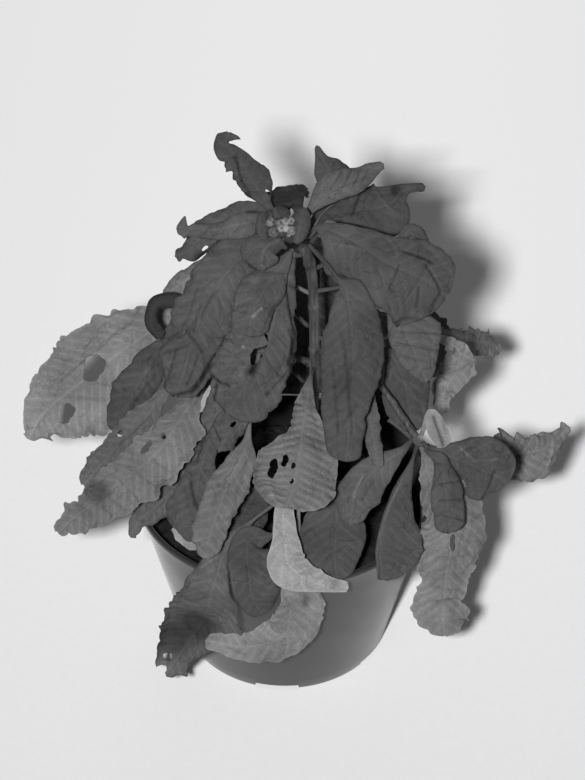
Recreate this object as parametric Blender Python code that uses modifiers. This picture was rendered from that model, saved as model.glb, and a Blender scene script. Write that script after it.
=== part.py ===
"""Withered potted plant: a star of dry bracts and drooping crumpled leaves in a tapered pot.

Units are metres, +Z is up, and the origin is the centre of the pot's base on the floor.
The front of the plant faces -Y. Tables of stations are in millimetres and scaled by MM.
"""
import math
from dataclasses import dataclass

import bpy
from mathutils import Vector

MM = 0.001
OBJECT_NAME = "dead_houseplant"

# Pot: a tapered plastic grower's pot with a small lip, foot ring, notches and drain holes.
POT_HEIGHT = 0.092
POT_LIP_RADIUS = 0.075
POT_LIP_HEIGHT = 0.0032
POT_WALL_TOP_RADIUS = 0.0738
POT_BASE_RADIUS = 0.0555
POT_WALL = 0.0017
POT_FLOOR_TOP = 0.0038
POT_FOOT_DEPTH = 0.0022
POT_FOOT_INNER_RADIUS = 0.049
POT_BOSS_RADIUS = 0.015
POT_SEGMENTS = 32
NOTCH_COUNT = 6
NOTCH_HEIGHT = 0.003
NOTCH_WIDTH = 0.023
NOTCH_FIRST_ANGLE = math.radians(-94.4)
DRAIN_RADIUS = 0.004
DRAIN_CIRCLE_RADIUS = 0.034

# Soil: a plug that stands clear of the pot wall by SOIL_GAP.
SOIL_GAP = 0.0004
SOIL_TOP_CENTRE = 0.0785
SOIL_TOP_EDGE = 0.0755

# Leaves: thin sheets whose petiole is a thicker strip.
BLADE_THICKNESS = 0.0007
PETIOLE_THICKNESS = 0.0018
PETIOLE_HALF_WIDTH = 1.0
NARROW_SUM = 2.4
NARROW_SPAN = 3.0
MIN_HALF_WIDTH = 0.4
WAVE_PERIODS = 2.5
FRONT_FACE = (0.0, -0.8, 0.6)

STEM_RESOLUTION = 1


@dataclass(frozen=True)
class Leaf:
    """One leaf or bract, described along its midrib.

    petiole: points (x, y, z) in mm, from the stem outward.
    blade: stations (x, y, z, near half width, far half width) in mm.
    cup: angle in degrees by which the sides bend back from the midrib.
    """

    name: str
    slot: str
    petiole: tuple
    blade: tuple
    cup: float
    rows: int
    cols: int = 4
    face: tuple = FRONT_FACE
    wave: float = 1.0


LEAVES = (
    Leaf("bract_back_left", "bract_dry", ((2, 6, 231),),
         ((-7, 10, 240, 2, 2), (-13, 19, 246, 8.5, 6.5), (-20, 29, 252, 6, 6.5),
          (-26, 35, 257, 3.5, 6), (-25, 39, 262, 4, 5.5)), -25, 6),
    Leaf("bract_left", "bract_dry", ((-2, 0, 230),),
         ((-12, -2, 238, 4.5, 6), (-20, -3, 237, 4.5, 6.5), (-33, -2, 234, 2.5, 4),
          (-47, 1, 234, 2.5, 3.5)), -20, 6, wave=0.6),
    Leaf("bract_left_under", "bract_dry", ((-2, 4, 229),),
         ((-10, 12, 237, 2, 2), (-23, 15, 233, 5.5, 6.5), (-35, 13, 225, 6.5, 7),
          (-43, 11, 217, 4, 5.5), (-49.5, 11, 213.5, 3, 3)), -25, 6),
    Leaf("bract_front_left", "bract_dry", ((-1, -1, 226),),
         ((-10, -1, 227, 4.5, 5.5), (-24, -9, 218, 11.5, 11.5), (-37, -22, 200, 13, 14),
          (-44, -33, 181, 10.5, 12.5), (-48, -37, 170, 4.5, 6)), -28, 7),
    Leaf("bract_small_oval", "bract_dry", ((0, -8, 229),),
         ((-1.5, -10.5, 231.5, 3, 3), (-7, -14, 232, 8, 6.5), (-10, -17, 228, 9.5, 7.5),
          (-11, -19, 223, 2, 2)), -22, 5),
    Leaf("bract_ribbed", "bract_dry", ((3, -6, 225),),
         ((0, -11, 223, 3.5, 3.5), (-7, -19, 216, 10.5, 8.5), (-13, -27, 208, 10.5, 8.5),
          (-15, -32, 198, 6.5, 7.5)), -30, 6),
    Leaf("bract_cupped", "bract_dry", ((6, -3, 222),),
         ((3, -5, 223, 2.5, 2.5), (-2, -18, 208, 14, 7.5), (-8, -31, 191, 17.5, 13),
          (-17, -39, 177, 17, 16.5), (-25, -43, 165, 10.5, 12)), -24, 7),
    Leaf("bract_front_right", "bract_dry", (),
         ((11, -3, 227, 1, 1), (19, -12, 222, 1, 1), (27, -21, 215, 4.5, 8),
          (30, -35, 193, 14.5, 14.5), (29, -49, 174, 13, 8.5), (27, -61, 152, 8, 6)), -26, 7),
    Leaf("bract_strip", "leaf_pale", ((17, -2, 178), (28, -16, 179)),
         ((37, -30, 171, 2, 2), (38, -39, 164, 3.5, 3.5), (40, -47, 153, 4.5, 4.5),
          (42, -51, 141, 2.5, 2.5)), -35, 5, 2),
    Leaf("bract_right_up", "bract_dry", ((7, 5, 231),),
         ((12, 6, 240, 2, 2), (21, 10, 247, 5.5, 8), (32, 14, 251, 6, 6),
          (44, 22, 254, 1.5, 1.5)), -18, 6),
    Leaf("bract_back_dark", "bract_dry", ((10, 6, 228),),
         ((17, 24, 233, 2.5, 2.5), (23, 33, 239, 8, 8.5), (20, 40, 244, 9, 7),
          (17, 46, 247, 3, 3), (15, 51, 250, 1, 1)), -20, 6),
    Leaf("bract_right_back", "bract_dry", ((13, 4, 226),),
         ((19, 17, 231, 2, 2), (33, 21, 232, 10, 8), (47, 26, 232, 14.5, 12),
          (55, 33, 236, 3, 3.5), (65, 37, 236, 2, 2)), -20, 6),
    Leaf("bract_right_curl", "bract_dry", ((16, 3, 213), (34, 5, 222)),
         ((51, 3, 225, 2, 1.5), (55, 5, 230, 3, 2.5), (60, 5, 229, 3, 2.5),
          (64, 4, 223, 2, 2)), -30, 5, 2),
    Leaf("bract_right", "bract_dry", ((12, 1, 230),),
         ((15, 0, 234, 1.5, 1.5), (27, -5, 232, 7, 6), (45, -14, 224, 15.5, 13),
          (60, -17, 218, 17.5, 16.5), (71, -18, 210, 12, 15)), -26, 7),
    Leaf("bract_right_low", "bract_dry", ((17, -1, 203), (30, -7, 208)),
         ((48, -15, 204, 4.5, 5.5), (54, -25, 194, 8, 16), (59, -32, 185, 7, 10.5),
          (63, -35, 176, 2, 2.5)), -22, 5),
    Leaf("leaf_dark_oval", "leaf_dry", ((37, -9, 176),),
         ((48, -5, 172, 2.5, 2.5), (55, -12, 162, 10, 11), (58, -19, 150, 11, 9.5),
          (60, -25, 141, 3, 3)), -20, 5),
    Leaf("leaf_petal_pair", "leaf_pale", ((63, -33, 147),),
         ((66, -33, 158, 2, 2), (69, -38, 153, 5, 4.5), (72, -42, 145, 2.5, 3.5)), -15, 4, 2),
    Leaf("leaf_light_right", "leaf_pale", ((35, -7, 177), (56, 6, 176)),
         ((84, 21, 158, 3, 4), (86, 27, 141, 9, 9), (81, 30, 125, 6, 5),
          (82, 32, 110, 2.5, 3)), -20, 5),
    Leaf("leaf_far_right_back", "leaf_dry", ((37, 44, 166), (60, 48, 158)),
         ((85, 54, 145, 3, 3), (97, 69, 132, 7, 6), (111, 85, 119, 6.5, 6),
          (121, 95, 108, 2, 2.5)), -20, 5),
    Leaf("leaf_right_smooth", "leaf_dry", ((64, -37, 143),),
         ((66, -38, 141, 1.5, 1.5), (77, -39, 137, 7.5, 8), (89, -40, 132, 15, 15.5),
          (99, -40, 126, 12, 13), (103, -40, 122, 4.5, 4.5)), -24, 6),
    Leaf("leaf_right_spiky", "leaf_dry", ((65, -32, 139), (90, -18, 120)),
         ((108, 2, 106, 12.5, 11.5), (118, 6, 104, 13.5, 9), (128, 9, 104, 14, 8),
          (136, 14, 105, 6.5, 7), (146, 23, 108, 1.5, 1.5)), -20, 6),
    Leaf("leaf_long_pale", "leaf_pale", ((63, -37, 140),),
         ((64, -38, 138, 1.5, 1.5), (67, -44, 127, 5.5, 14), (77, -53, 105, 14, 16.5),
          (75, -64, 84, 13, 11), (74, -73, 68, 12, 11), (75, -76, 60, 4.5, 5.5)), -26, 7),
    Leaf("leaf_inner_ribbed", "leaf_dry", ((65, -41, 142),),
         ((70, -45, 139, 2.5, 4.5), (73, -55, 128, 7, 8), (75, -63, 113, 6.5, 6.5)), -16, 5),
    Leaf("leaf_folded_dark", "leaf_dry", ((60, -39, 142),),
         ((58, -44, 139, 1, 1), (50, -51, 125, 1.5, 9), (44, -61, 104, 2, 20),
          (45, -68, 88, 2, 16.5)), -30, 6),
    Leaf("leaf_mid", "leaf_dry", ((57, -38, 145),),
         ((53, -43, 144, 2, 2.5), (41, -49, 138, 6.5, 9), (32, -55, 127, 9, 11),
          (30, -59, 114, 3.5, 5.5)), -26, 6),
    Leaf("leaf_dark_hidden", "leaf_dry", ((8, -36, 118),),
         ((23, -41, 121, 4.5, 4.5), (24, -52, 110, 15.5, 13), (23, -65, 101, 16.5, 12),
          (24, -74, 94, 6.5, 6.5)), -14, 5),
    Leaf("leaf_shell", "leaf_pale", ((14, -3, 162), (12, -20, 169)),
         ((10, -37, 165, 4.5, 4), (8, -48, 158, 10, 12), (7, -58, 152, 19, 18.5),
          (4, -66, 141, 19, 18.5), (1, -66, 130, 10, 9)), -50, 7),
    Leaf("leaf_pale_curve", "leaf_pale", ((4, -40, 119),),
         ((0, -55, 122, 3.5, 4.5), (0, -65, 112, 5.5, 6.5), (3, -76, 104, 10, 8),
          (16, -81, 98, 3.5, 5.5), (29, -80, 95, 2, 2.5)), -14, 6),
    Leaf("leaf_low_smooth", "leaf_dry", ((2.5, -39.5, 111), (-5, -54, 104)),
         ((-16, -59, 104, 7.5, 9), (-16, -75, 98, 9, 11.5), (-14, -79, 87, 7.5, 12),
          (-10, -78, 76, 3.5, 6.5)), -10, 5),
    Leaf("leaf_shadowed", "leaf_dry", ((0.5, -37, 118),),
         ((-9, -39, 118, 3.5, 3.5), (-17, -43, 105, 10.5, 9.5), (-23, -48, 92, 5.5, 5.5)), -20, 4),
    Leaf("leaf_striped", "leaf_dry", ((-12, -9, 172), (-15, -28, 165)),
         ((-17, -44, 148, 2, 2), (-24, -53, 136, 8, 7), (-30, -60, 122, 9, 7),
          (-35, -65, 107, 7.5, 6.5), (-37, -66, 100, 2.5, 2.5)), -26, 5),
    Leaf("leaf_left_inner", "leaf_dry", ((-21, -11, 168), (-26, -28, 158)),
         ((-33, -33, 145, 3.5, 3.5), (-39, -41, 129, 6.5, 7.5), (-41, -49, 113, 6.5, 7.5),
          (-41, -54, 99, 3.5, 3.5)), -20, 5),
    Leaf("leaf_left_dark", "leaf_dry", ((-43, -21, 146),),
         ((-42, -29, 127, 3, 3), (-52, -36, 116, 10.5, 8.5), (-62, -39, 106, 6.5, 7.5),
          (-69, -40, 100, 4.5, 4.5), (-73, -43, 92, 1.5, 1.5)), -22, 6),
    Leaf("leaf_left_gap", "leaf_dry", ((-31, -16, 163),),
         ((-31, -21, 161, 3, 3), (-31, -26, 148, 8, 7), (-32, -32, 134, 4, 4)), -18, 4),
    Leaf("leaf_rim_bit", "leaf_pale", (),
         ((-53, -41, 96, 1.5, 2), (-46, -46, 93, 3.5, 3), (-38, -54, 95, 1.5, 2)), -10, 4, 2),
    Leaf("leaf_low_pale", "leaf_pale", ((6.5, -38.5, 112.5), (6, -60, 99)),
         ((0, -77, 93, 1, 1), (3, -80, 84, 5.5, 15.5), (-1, -80, 64, 10, 11),
          (-18, -81, 58, 6.5, 7), (-37, -78, 59, 3, 3.5)), -12, 6),
    Leaf("leaf_low_left", "leaf_dry", ((1, -38.5, 115.5), (-6, -46, 114), (-15, -51, 109)),
         ((-27, -57, 97, 5.5, 3.5), (-32, -75.5, 91.5, 13, 7.5), (-37, -71, 69, 17.5, 19.5),
          (-46, -69, 48, 15.5, 10), (-58, -72, 29, 6, 3.5)), -10, 6),
    Leaf("leaf_big_left", "leaf_pale", ((-32, -8, 170), (-44, 8, 176)),
         ((-54, 21, 173, 8, 5), (-74, 12, 165, 19, 23), (-97, 0, 152, 21, 27),
          (-115, -7, 139, 11, 17), (-123, -12, 127, 2, 2)), -24, 7),
    Leaf("leaf_left_shaded", "leaf_dry", ((-36, -12, 168),),
         ((-54, 0, 173, 3.5, 3.5), (-66, -8, 161, 9.5, 9), (-74, -15, 148, 9.5, 9),
          (-80, -20, 137, 4, 4)), -20, 5),
    Leaf("leaf_left_curl", "leaf_dry", ((-22, -8, 177), (-32, -6, 192)),
         ((-43, -4, 197, 2.5, 2.5), (-50, -5, 200, 3.5, 3.5), (-58, -7, 199, 3.5, 3.5),
          (-60, -10, 191, 3.5, 3), (-55, -12, 185, 2.5, 2.5)), -40, 7, 2),
    Leaf("leaf_upper_left", "leaf_dry", ((11, 2, 200), (-12, 8, 209)),
         ((-36, 10, 211, 2.5, 2.5), (-45, 9, 203, 5.5, 7), (-55, 7, 195, 2.5, 3)), -18, 4),
    Leaf("leaf_rugged_left", "leaf_pale", ((-38, -18, 160),),
         ((-45, -28, 155, 5.5, 6.5), (-57, -39, 141, 11, 15), (-79, -47, 125, 9, 13),
          (-96, -51, 112, 5.5, 8), (-105, -53, 104, 3.5, 2.5)), -24, 6),
    Leaf("leaf_rugged_under", "leaf_pale", ((-41, -14, 158),),
         ((-54, -18, 159, 2, 2), (-65, -25, 148, 6.5, 6.5), (-80, -31, 134, 7.5, 7.5),
          (-94, -37, 119, 4.5, 5.5)), -20, 5),
    Leaf("leaf_crumpled", "leaf_dry", ((-16, -9, 173), (-17, -24, 171)),
         ((-17, -37, 165, 3.5, 3.5), (-23, -43, 158, 8, 6), (-29, -47, 147, 4.5, 4.5)), -26, 4),
    Leaf("leaf_rear_left", "leaf_dry", ((10, 4, 182),),
         ((-14, 34, 190, 3, 3), (-38, 60, 166, 15, 16), (-52, 80, 128, 13, 14),
          (-57, 88, 106, 3, 3)), -30, 6, face=(-0.3, 0.7, 0.6)),
    Leaf("leaf_rear_mid", "leaf_dry", ((37, 47, 160),),
         ((42, 55, 160, 3, 3), (50, 64, 140, 13, 14), (53, 75, 110, 12, 12),
          (53, 80, 90, 3, 3)), -30, 6, face=(0.0, 0.7, 0.6)),
    Leaf("leaf_rear_right", "leaf_dry", ((31, 38, 171),),
         ((52, 60, 172, 4, 4), (72, 80, 144, 16, 16), (80, 90, 112, 13, 12),
          (81, 92, 92, 3, 3)), -30, 6, face=(0.4, 0.7, 0.6)),
    Leaf("leaf_rear_inner", "leaf_dry", ((15, 4, 196),),
         ((14, 34, 207, 6, 6), (14, 50, 202, 17, 16), (13, 62, 175, 26, 23),
          (12, 71, 130, 24, 23), (12, 78, 99, 11, 11)), -24, 6, face=(0.0, 0.7, 0.6)),
    Leaf("bract_rear", "bract_dry", ((6, 7, 224),),
         ((6, 12, 238, 2.5, 2.5), (2, 22, 238, 9, 9),
          (1, 47, 230, 10.5, 11), (0, 70, 221, 5, 5)), -20, 5),
    Leaf("leaf_rear_low_left", "leaf_dry", ((8, 5, 150),),
         ((-4, 26, 152, 3, 3), (-14, 44, 134, 14, 14), (-20, 55, 110, 14, 14),
          (-23, 60, 90, 4, 4)), -26, 5, face=(-0.2, 0.7, 0.6)),
    Leaf("leaf_rear_low_right", "leaf_dry", ((19, 4, 148),),
         ((30, 22, 152, 3, 3), (39, 34, 134, 13, 13), (45, 42, 110, 13, 12),
          (48, 46, 92, 4, 4)), -26, 5, face=(0.2, 0.7, 0.6)),
)

# Stems: stations (x, y, z, radius) in mm.
STEMS = {
    "stem_main": ((6, 3, 79.2, 3.2), (11, 1, 112, 2.9), (14, 0, 145, 2.6), (14, 0, 178, 2.4),
                  (13, 0, 206, 2.3), (11, 0, 218, 2.4), (8, 0, 225, 2.2)),
    "branch_right": ((17.5, -1, 170, 1.6), (32, -10, 173, 1.5), (46, -22, 162, 1.4),
                     (60, -34, 145, 1.9)),
    "branch_left": ((10.3, 0, 164, 1.6), (-10, -5, 173, 1.6), (-30, -12, 167, 1.5),
                    (-43, -18, 151, 1.6)),
    "branch_low": ((11, -3.5, 106, 1.7), (8, -22, 116, 1.6), (4, -36, 115, 1.8)),
    "branch_back": ((15, 3.5, 168, 1.7), (24, 20, 174, 1.6), (34, 42, 166, 1.8)),
}

# Flower cluster: bead buds (x, y, z, radius) and bractlets (centre, radii, turns in degrees), mm.
RECEPTACLE = ((2.0, -3.6, 231.6), (2.3, 2.3, 6.4), (36, -20, 0))
BUD_STALK = ((-0.8, -9.0, 238.8), (5.4, 3.4, 4.2), (-35, 0, 0))
BUDS = (
    (-5.4, -10.3, 241.8, 2.2), (-4.2, -12.7, 238.4, 2.5), (-1.7, -10.6, 241.5, 2.0),
    (-1.2, -11.8, 239.7, 1.9), (0.5, -10.1, 242.1, 1.9), (2.9, -9.9, 242.4, 2.1),
    (3.3, -12.3, 239.0, 2.2), (0.9, -11.6, 240.0, 1.9),
)
BRACTLETS = (
    ((-7.0, -8.6, 239.6), (2.9, 1.0, 5.4), (-30, 8, 25)),
    ((-4.4, -6.2, 241.4), (4.6, 1.0, 3.4), (-45, -20, 15)),
    ((6.6, -8.0, 240.0), (3.6, 1.1, 8.0), (-35, 6, -20)),
)

MATERIALS = {
    "pot_plastic": ((0.20, 0.20, 0.20, 1.0), 0.45),
    "soil": ((0.035, 0.035, 0.035, 1.0), 0.95),
    "stem_bark": ((0.13, 0.13, 0.13, 1.0), 0.75),
    "bract_dry": ((0.11, 0.11, 0.11, 1.0), 0.7),
    "leaf_dry": ((0.09, 0.09, 0.09, 1.0), 0.7),
    "leaf_pale": ((0.20, 0.20, 0.20, 1.0), 0.75),
    "flower_bud": ((0.30, 0.30, 0.30, 1.0), 0.5),
}


def clear_scene():
    """Remove every object of the start-up scene."""
    for item in list(bpy.data.objects):
        bpy.data.objects.remove(item, do_unlink=True)


def make_collection(name):
    """Return a new collection linked to the scene."""
    group = bpy.data.collections.new(name)
    bpy.context.scene.collection.children.link(group)
    return group


def make_material(name, colour, roughness):
    """Return a Principled material with a plain colour."""
    material = bpy.data.materials.new(name)
    material.use_nodes = True
    shader = material.node_tree.nodes["Principled BSDF"]
    shader.inputs["Base Color"].default_value = colour
    shader.inputs["Roughness"].default_value = roughness
    shader.inputs["Metallic"].default_value = 0.0
    material.diffuse_color = colour
    return material


def place(item, group, name, material=None, smooth=True):
    """Name an object, move it to one collection, and give it its material."""
    for old in list(item.users_collection):
        old.objects.unlink(item)
    group.objects.link(item)
    item.name = name
    item.data.name = name
    if material is not None:
        item.data.materials.clear()
        item.data.materials.append(material)
    for face in item.data.polygons:
        face.use_smooth = smooth
    return item


def hermite(points, count, lead):
    """Sample a smooth curve through stations.

    The first `lead` stations are kept as they are and the rest is cut in `count` equal steps.
    """
    size = len(points)
    marks = [0.0]
    for first, second in zip(points, points[1:]):
        marks.append(marks[-1] + (Vector(second[:3]) - Vector(first[:3])).length)
    slopes = []
    for index in range(size):
        low = max(index - 1, 0)
        high = min(index + 1, size - 1)
        span = marks[high] - marks[low]
        slopes.append([(b - a) / span for a, b in zip(points[low], points[high])])
    wanted = marks[:lead]
    wanted += [marks[lead] + (marks[-1] - marks[lead]) * step / count for step in range(count + 1)]
    rows = []
    for mark in wanted:
        index = 0
        while index < size - 2 and mark >= marks[index + 1]:
            index += 1
        width = marks[index + 1] - marks[index]
        q = (mark - marks[index]) / width
        start = 2 * q ** 3 - 3 * q ** 2 + 1
        start_slope = (q ** 3 - 2 * q ** 2 + q) * width
        stop = -2 * q ** 3 + 3 * q ** 2
        stop_slope = (q ** 3 - q ** 2) * width
        rows.append([
            start * a + start_slope * m + stop * b + stop_slope * n
            for a, m, b, n in zip(points[index], slopes[index], points[index + 1], slopes[index + 1])
        ])
    return rows


def leaf_surface(leaf, phase):
    """Return the grid of surface points and the half-width sum of each row of a leaf."""
    lead = len(leaf.petiole)
    stations = [(*point, PETIOLE_HALF_WIDTH, PETIOLE_HALF_WIDTH) for point in leaf.petiole]
    stations += list(leaf.blade)
    rows = hermite(stations, leaf.rows, lead)
    centres = [Vector(row[:3]) for row in rows]
    widths = [(max(row[3], MIN_HALF_WIDTH), max(row[4], MIN_HALF_WIDTH)) for row in rows]
    widest = max(max(pair) for pair in widths)
    bend = math.radians(abs(leaf.cup))
    radius = widest / bend
    toward = math.copysign(1.0, leaf.cup)
    face = Vector(leaf.face)
    last = len(rows) - 1
    grid = []
    for index, centre in enumerate(centres):
        along = (centres[min(index + 1, last)] - centres[max(index - 1, 0)]).normalized()
        normal = (face - along * face.dot(along)).normalized()
        side = normal.cross(along)
        line = []
        for column in range(leaf.cols + 1):
            across = -1.0 + 2.0 * column / leaf.cols
            half = widths[index][0] if across < 0 else widths[index][1]
            angle = across * half / radius
            turn = 2 * math.pi * (WAVE_PERIODS * index / last + phase + 0.3 * (across > 0))
            ripple = leaf.wave * math.sin(turn) * abs(across) ** 1.5 * min(1.0, 1.3 * half / widest)
            point = centre + side * (radius * math.sin(angle))
            point += normal * (toward * radius * (1 - math.cos(angle)) + ripple)
            line.append(point)
        grid.append(line)
    return grid, [sum(pair) for pair in widths]


def build_leaf(leaf, phase, group, materials):
    """Shape a grid into one leaf and thicken it with Solidify."""
    surface, sums = leaf_surface(leaf, phase)
    long_steps = len(surface) - 1
    bpy.ops.mesh.primitive_grid_add(x_subdivisions=long_steps, y_subdivisions=leaf.cols, size=2.0)
    item = bpy.context.object
    body = item.vertex_groups.new(name="thickness")
    for vertex in item.data.vertices:
        row = round((vertex.co.x + 1.0) / 2.0 * long_steps)
        column = round((vertex.co.y + 1.0) / 2.0 * leaf.cols)
        vertex.co = surface[row][column] * MM
        narrow = min(max(1.0 - (sums[row] - NARROW_SUM) / NARROW_SPAN, 0.0), 1.0)
        thick = BLADE_THICKNESS + (PETIOLE_THICKNESS - BLADE_THICKNESS) * narrow
        body.add([vertex.index], thick / PETIOLE_THICKNESS, "REPLACE")
    solid = item.modifiers.new("Thickness", "SOLIDIFY")
    solid.thickness = PETIOLE_THICKNESS
    solid.offset = 0.0
    solid.use_even_offset = False
    solid.vertex_group = "thickness"
    return place(item, group, leaf.name, materials[leaf.slot])


def build_stem(name, stations, group, material):
    """Sweep a round section with changing radius along straight runs between stations."""
    curve = bpy.data.curves.new(name, "CURVE")
    curve.dimensions = "3D"
    curve.bevel_depth = 1.0
    curve.bevel_resolution = STEM_RESOLUTION
    curve.use_fill_caps = True
    spline = curve.splines.new("POLY")
    spline.points.add(len(stations) - 1)
    for point, (x, y, z, radius) in zip(spline.points, stations):
        point.co = (x * MM, y * MM, z * MM, 1.0)
        point.radius = radius * MM
    guide = bpy.data.objects.new(name, curve)
    group.objects.link(guide)
    bpy.context.view_layer.update()
    depsgraph = bpy.context.evaluated_depsgraph_get()
    mesh = bpy.data.meshes.new_from_object(guide.evaluated_get(depsgraph))
    bpy.data.objects.remove(guide, do_unlink=True)
    item = bpy.data.objects.new(name, mesh)
    group.objects.link(item)
    weld = item.modifiers.new("Weld", "WELD")
    weld.merge_threshold = 0.00005
    return place(item, group, name, material)


def add_screw(name, profile, group, material):
    """Turn a profile of (radius, height) points about the Z axis."""
    mesh = bpy.data.meshes.new(name)
    points = [(radius, 0.0, height) for radius, height in profile]
    edges = [(index, index + 1) for index in range(len(points) - 1)]
    mesh.from_pydata(points, edges, [])
    item = bpy.data.objects.new(name, mesh)
    group.objects.link(item)
    screw = item.modifiers.new("Turn", "SCREW")
    screw.axis = "Z"
    screw.steps = POT_SEGMENTS
    screw.render_steps = POT_SEGMENTS
    screw.use_merge_vertices = True
    screw.merge_threshold = 0.00005
    return place(item, group, name, material)


def add_cut(item, cutter, operation="DIFFERENCE"):
    """Add an exact Boolean that works on `item` with `cutter`."""
    boolean = item.modifiers.new("Cut", "BOOLEAN")
    boolean.operation = operation
    boolean.solver = "EXACT"
    boolean.object = cutter


def join_as_cutter(parts, name, group):
    """Join separate cutter bodies in one hidden wire object."""
    bpy.ops.object.select_all(action="DESELECT")
    for part in parts:
        part.select_set(True)
    bpy.context.view_layer.objects.active = parts[0]
    bpy.ops.object.transform_apply(location=False, rotation=True, scale=True)
    bpy.ops.object.join()
    cutter = place(bpy.context.object, group, name, smooth=False)
    cutter.display_type = "WIRE"
    cutter.hide_render = True
    return cutter


def wall_radius(height):
    """Outer radius of the tapered wall at a height."""
    top = POT_HEIGHT - POT_LIP_HEIGHT
    return POT_BASE_RADIUS + (POT_WALL_TOP_RADIUS - POT_BASE_RADIUS) * height / top


def build_pot(group, guides, material):
    """Turn the pot wall, then cut the foot notches and drain holes."""
    lip_low = POT_HEIGHT - POT_LIP_HEIGHT
    profile = (
        (0.0, POT_FLOOR_TOP),
        (wall_radius(POT_FLOOR_TOP) - POT_WALL, POT_FLOOR_TOP),
        (wall_radius(lip_low) - POT_WALL, lip_low),
        (POT_LIP_RADIUS - 0.0022, POT_HEIGHT),
        (POT_LIP_RADIUS - 0.0006, POT_HEIGHT),
        (POT_LIP_RADIUS, POT_HEIGHT - 0.0006),
        (POT_LIP_RADIUS, lip_low + 0.0008),
        (POT_WALL_TOP_RADIUS, lip_low),
        (wall_radius(0.0008), 0.0008),
        (POT_BASE_RADIUS - 0.0006, 0.0),
        (POT_FOOT_INNER_RADIUS, 0.0),
        (POT_FOOT_INNER_RADIUS - 0.0008, POT_FOOT_DEPTH),
        (POT_BOSS_RADIUS + 0.0008, POT_FOOT_DEPTH),
        (POT_BOSS_RADIUS, 0.0),
        (0.0, 0.0),
    )
    pot = add_screw("pot", profile, group, material)
    notches = []
    holes = []
    for index in range(NOTCH_COUNT):
        angle = NOTCH_FIRST_ANGLE + index * 2 * math.pi / NOTCH_COUNT
        reach = POT_BASE_RADIUS - 0.003
        spot = (reach * math.cos(angle), reach * math.sin(angle), NOTCH_HEIGHT - 0.002)
        bpy.ops.mesh.primitive_cube_add(size=1.0, location=spot, rotation=(0, 0, angle),
                                        scale=(0.016, NOTCH_WIDTH, 0.004))
        notches.append(bpy.context.object)
        turn = angle + math.pi / NOTCH_COUNT
        spot = (DRAIN_CIRCLE_RADIUS * math.cos(turn), DRAIN_CIRCLE_RADIUS * math.sin(turn), 0.003)
        bpy.ops.mesh.primitive_cylinder_add(vertices=8, radius=DRAIN_RADIUS, depth=0.01,
                                            location=spot)
        holes.append(bpy.context.object)
    add_cut(pot, join_as_cutter(notches, "notch_cutter", guides))
    add_cut(pot, join_as_cutter(holes, "drain_cutter", guides))
    return pot


def build_soil(group, material):
    """Turn the soil plug that stands on the pot floor."""
    low = POT_FLOOR_TOP + SOIL_GAP
    inset = POT_WALL + SOIL_GAP
    profile = (
        (0.0, SOIL_TOP_CENTRE),
        (0.040, SOIL_TOP_CENTRE - 0.0004),
        (wall_radius(SOIL_TOP_EDGE) - inset, SOIL_TOP_EDGE),
        (wall_radius(low) - inset, low),
        (0.0, low),
    )
    return add_screw("soil", profile, group, material)


def add_ellipsoid(centre, radii, turns, segments=8, rings=4):
    """Add a stretched and turned sphere given in millimetres and degrees."""
    bpy.ops.mesh.primitive_uv_sphere_add(
        segments=segments, ring_count=rings, radius=1.0,
        location=[value * MM for value in centre],
        rotation=[math.radians(value) for value in turns],
        scale=[value * MM for value in radii],
    )
    return bpy.context.object


def build_flower_cluster(group, guides, material):
    """Join receptacle, stalk, bead buds and bractlets in one grown body."""
    cluster = add_ellipsoid(*RECEPTACLE)
    additions = [add_ellipsoid(*BUD_STALK)]
    for x, y, z, radius in BUDS:
        bpy.ops.mesh.primitive_ico_sphere_add(subdivisions=1, radius=radius * MM,
                                              location=(x * MM, y * MM, z * MM))
        additions.append(bpy.context.object)
    for bractlet in BRACTLETS:
        additions.append(add_ellipsoid(*bractlet, segments=6))
    for index, part in enumerate(additions):
        place(part, guides, f"cluster_part_{index}", smooth=False)
        part.display_type = "WIRE"
        part.hide_render = True
        add_cut(cluster, part, "UNION")
    return place(cluster, group, "flower_cluster", material, smooth=False)


def main():
    """Build every piece of the plant and its pot."""
    clear_scene()
    group = make_collection(OBJECT_NAME)
    guides = make_collection("cutters")
    materials = {name: make_material(name, *look) for name, look in MATERIALS.items()}
    build_pot(group, guides, materials["pot_plastic"])
    build_soil(group, materials["soil"])
    for name, stations in STEMS.items():
        build_stem(name, stations, group, materials["stem_bark"])
    build_flower_cluster(group, guides, materials["flower_bud"])
    for index, leaf in enumerate(LEAVES):
        build_leaf(leaf, 0.17 * index, group, materials)


main()
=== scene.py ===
"""A withered potted plant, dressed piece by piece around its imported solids.

Units are metres, +Z is up and the front of the plant faces -Y. Station tables are in
millimetres. Most leaves follow the same midrib stations as their solids.
"""

import logging
import math
from dataclasses import dataclass, field
from enum import Enum
from typing import Optional, Sequence, Union

import bpy
import numpy as np
from mathutils import Matrix, Vector


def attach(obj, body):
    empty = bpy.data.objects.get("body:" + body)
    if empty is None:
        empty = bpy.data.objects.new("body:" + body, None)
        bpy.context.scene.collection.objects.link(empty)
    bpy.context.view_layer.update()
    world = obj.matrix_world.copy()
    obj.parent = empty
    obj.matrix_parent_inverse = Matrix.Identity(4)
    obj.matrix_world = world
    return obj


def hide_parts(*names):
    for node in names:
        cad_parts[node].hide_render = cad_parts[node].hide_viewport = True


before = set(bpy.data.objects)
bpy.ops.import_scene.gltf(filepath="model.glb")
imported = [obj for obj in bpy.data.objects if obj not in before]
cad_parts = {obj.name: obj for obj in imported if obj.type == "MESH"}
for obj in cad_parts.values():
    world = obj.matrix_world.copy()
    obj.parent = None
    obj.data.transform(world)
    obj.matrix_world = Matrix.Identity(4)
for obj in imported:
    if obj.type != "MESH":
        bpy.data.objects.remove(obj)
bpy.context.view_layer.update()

LOG = logging.getLogger("withered_plant")
MM = 0.001
BODY = "root"
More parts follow.
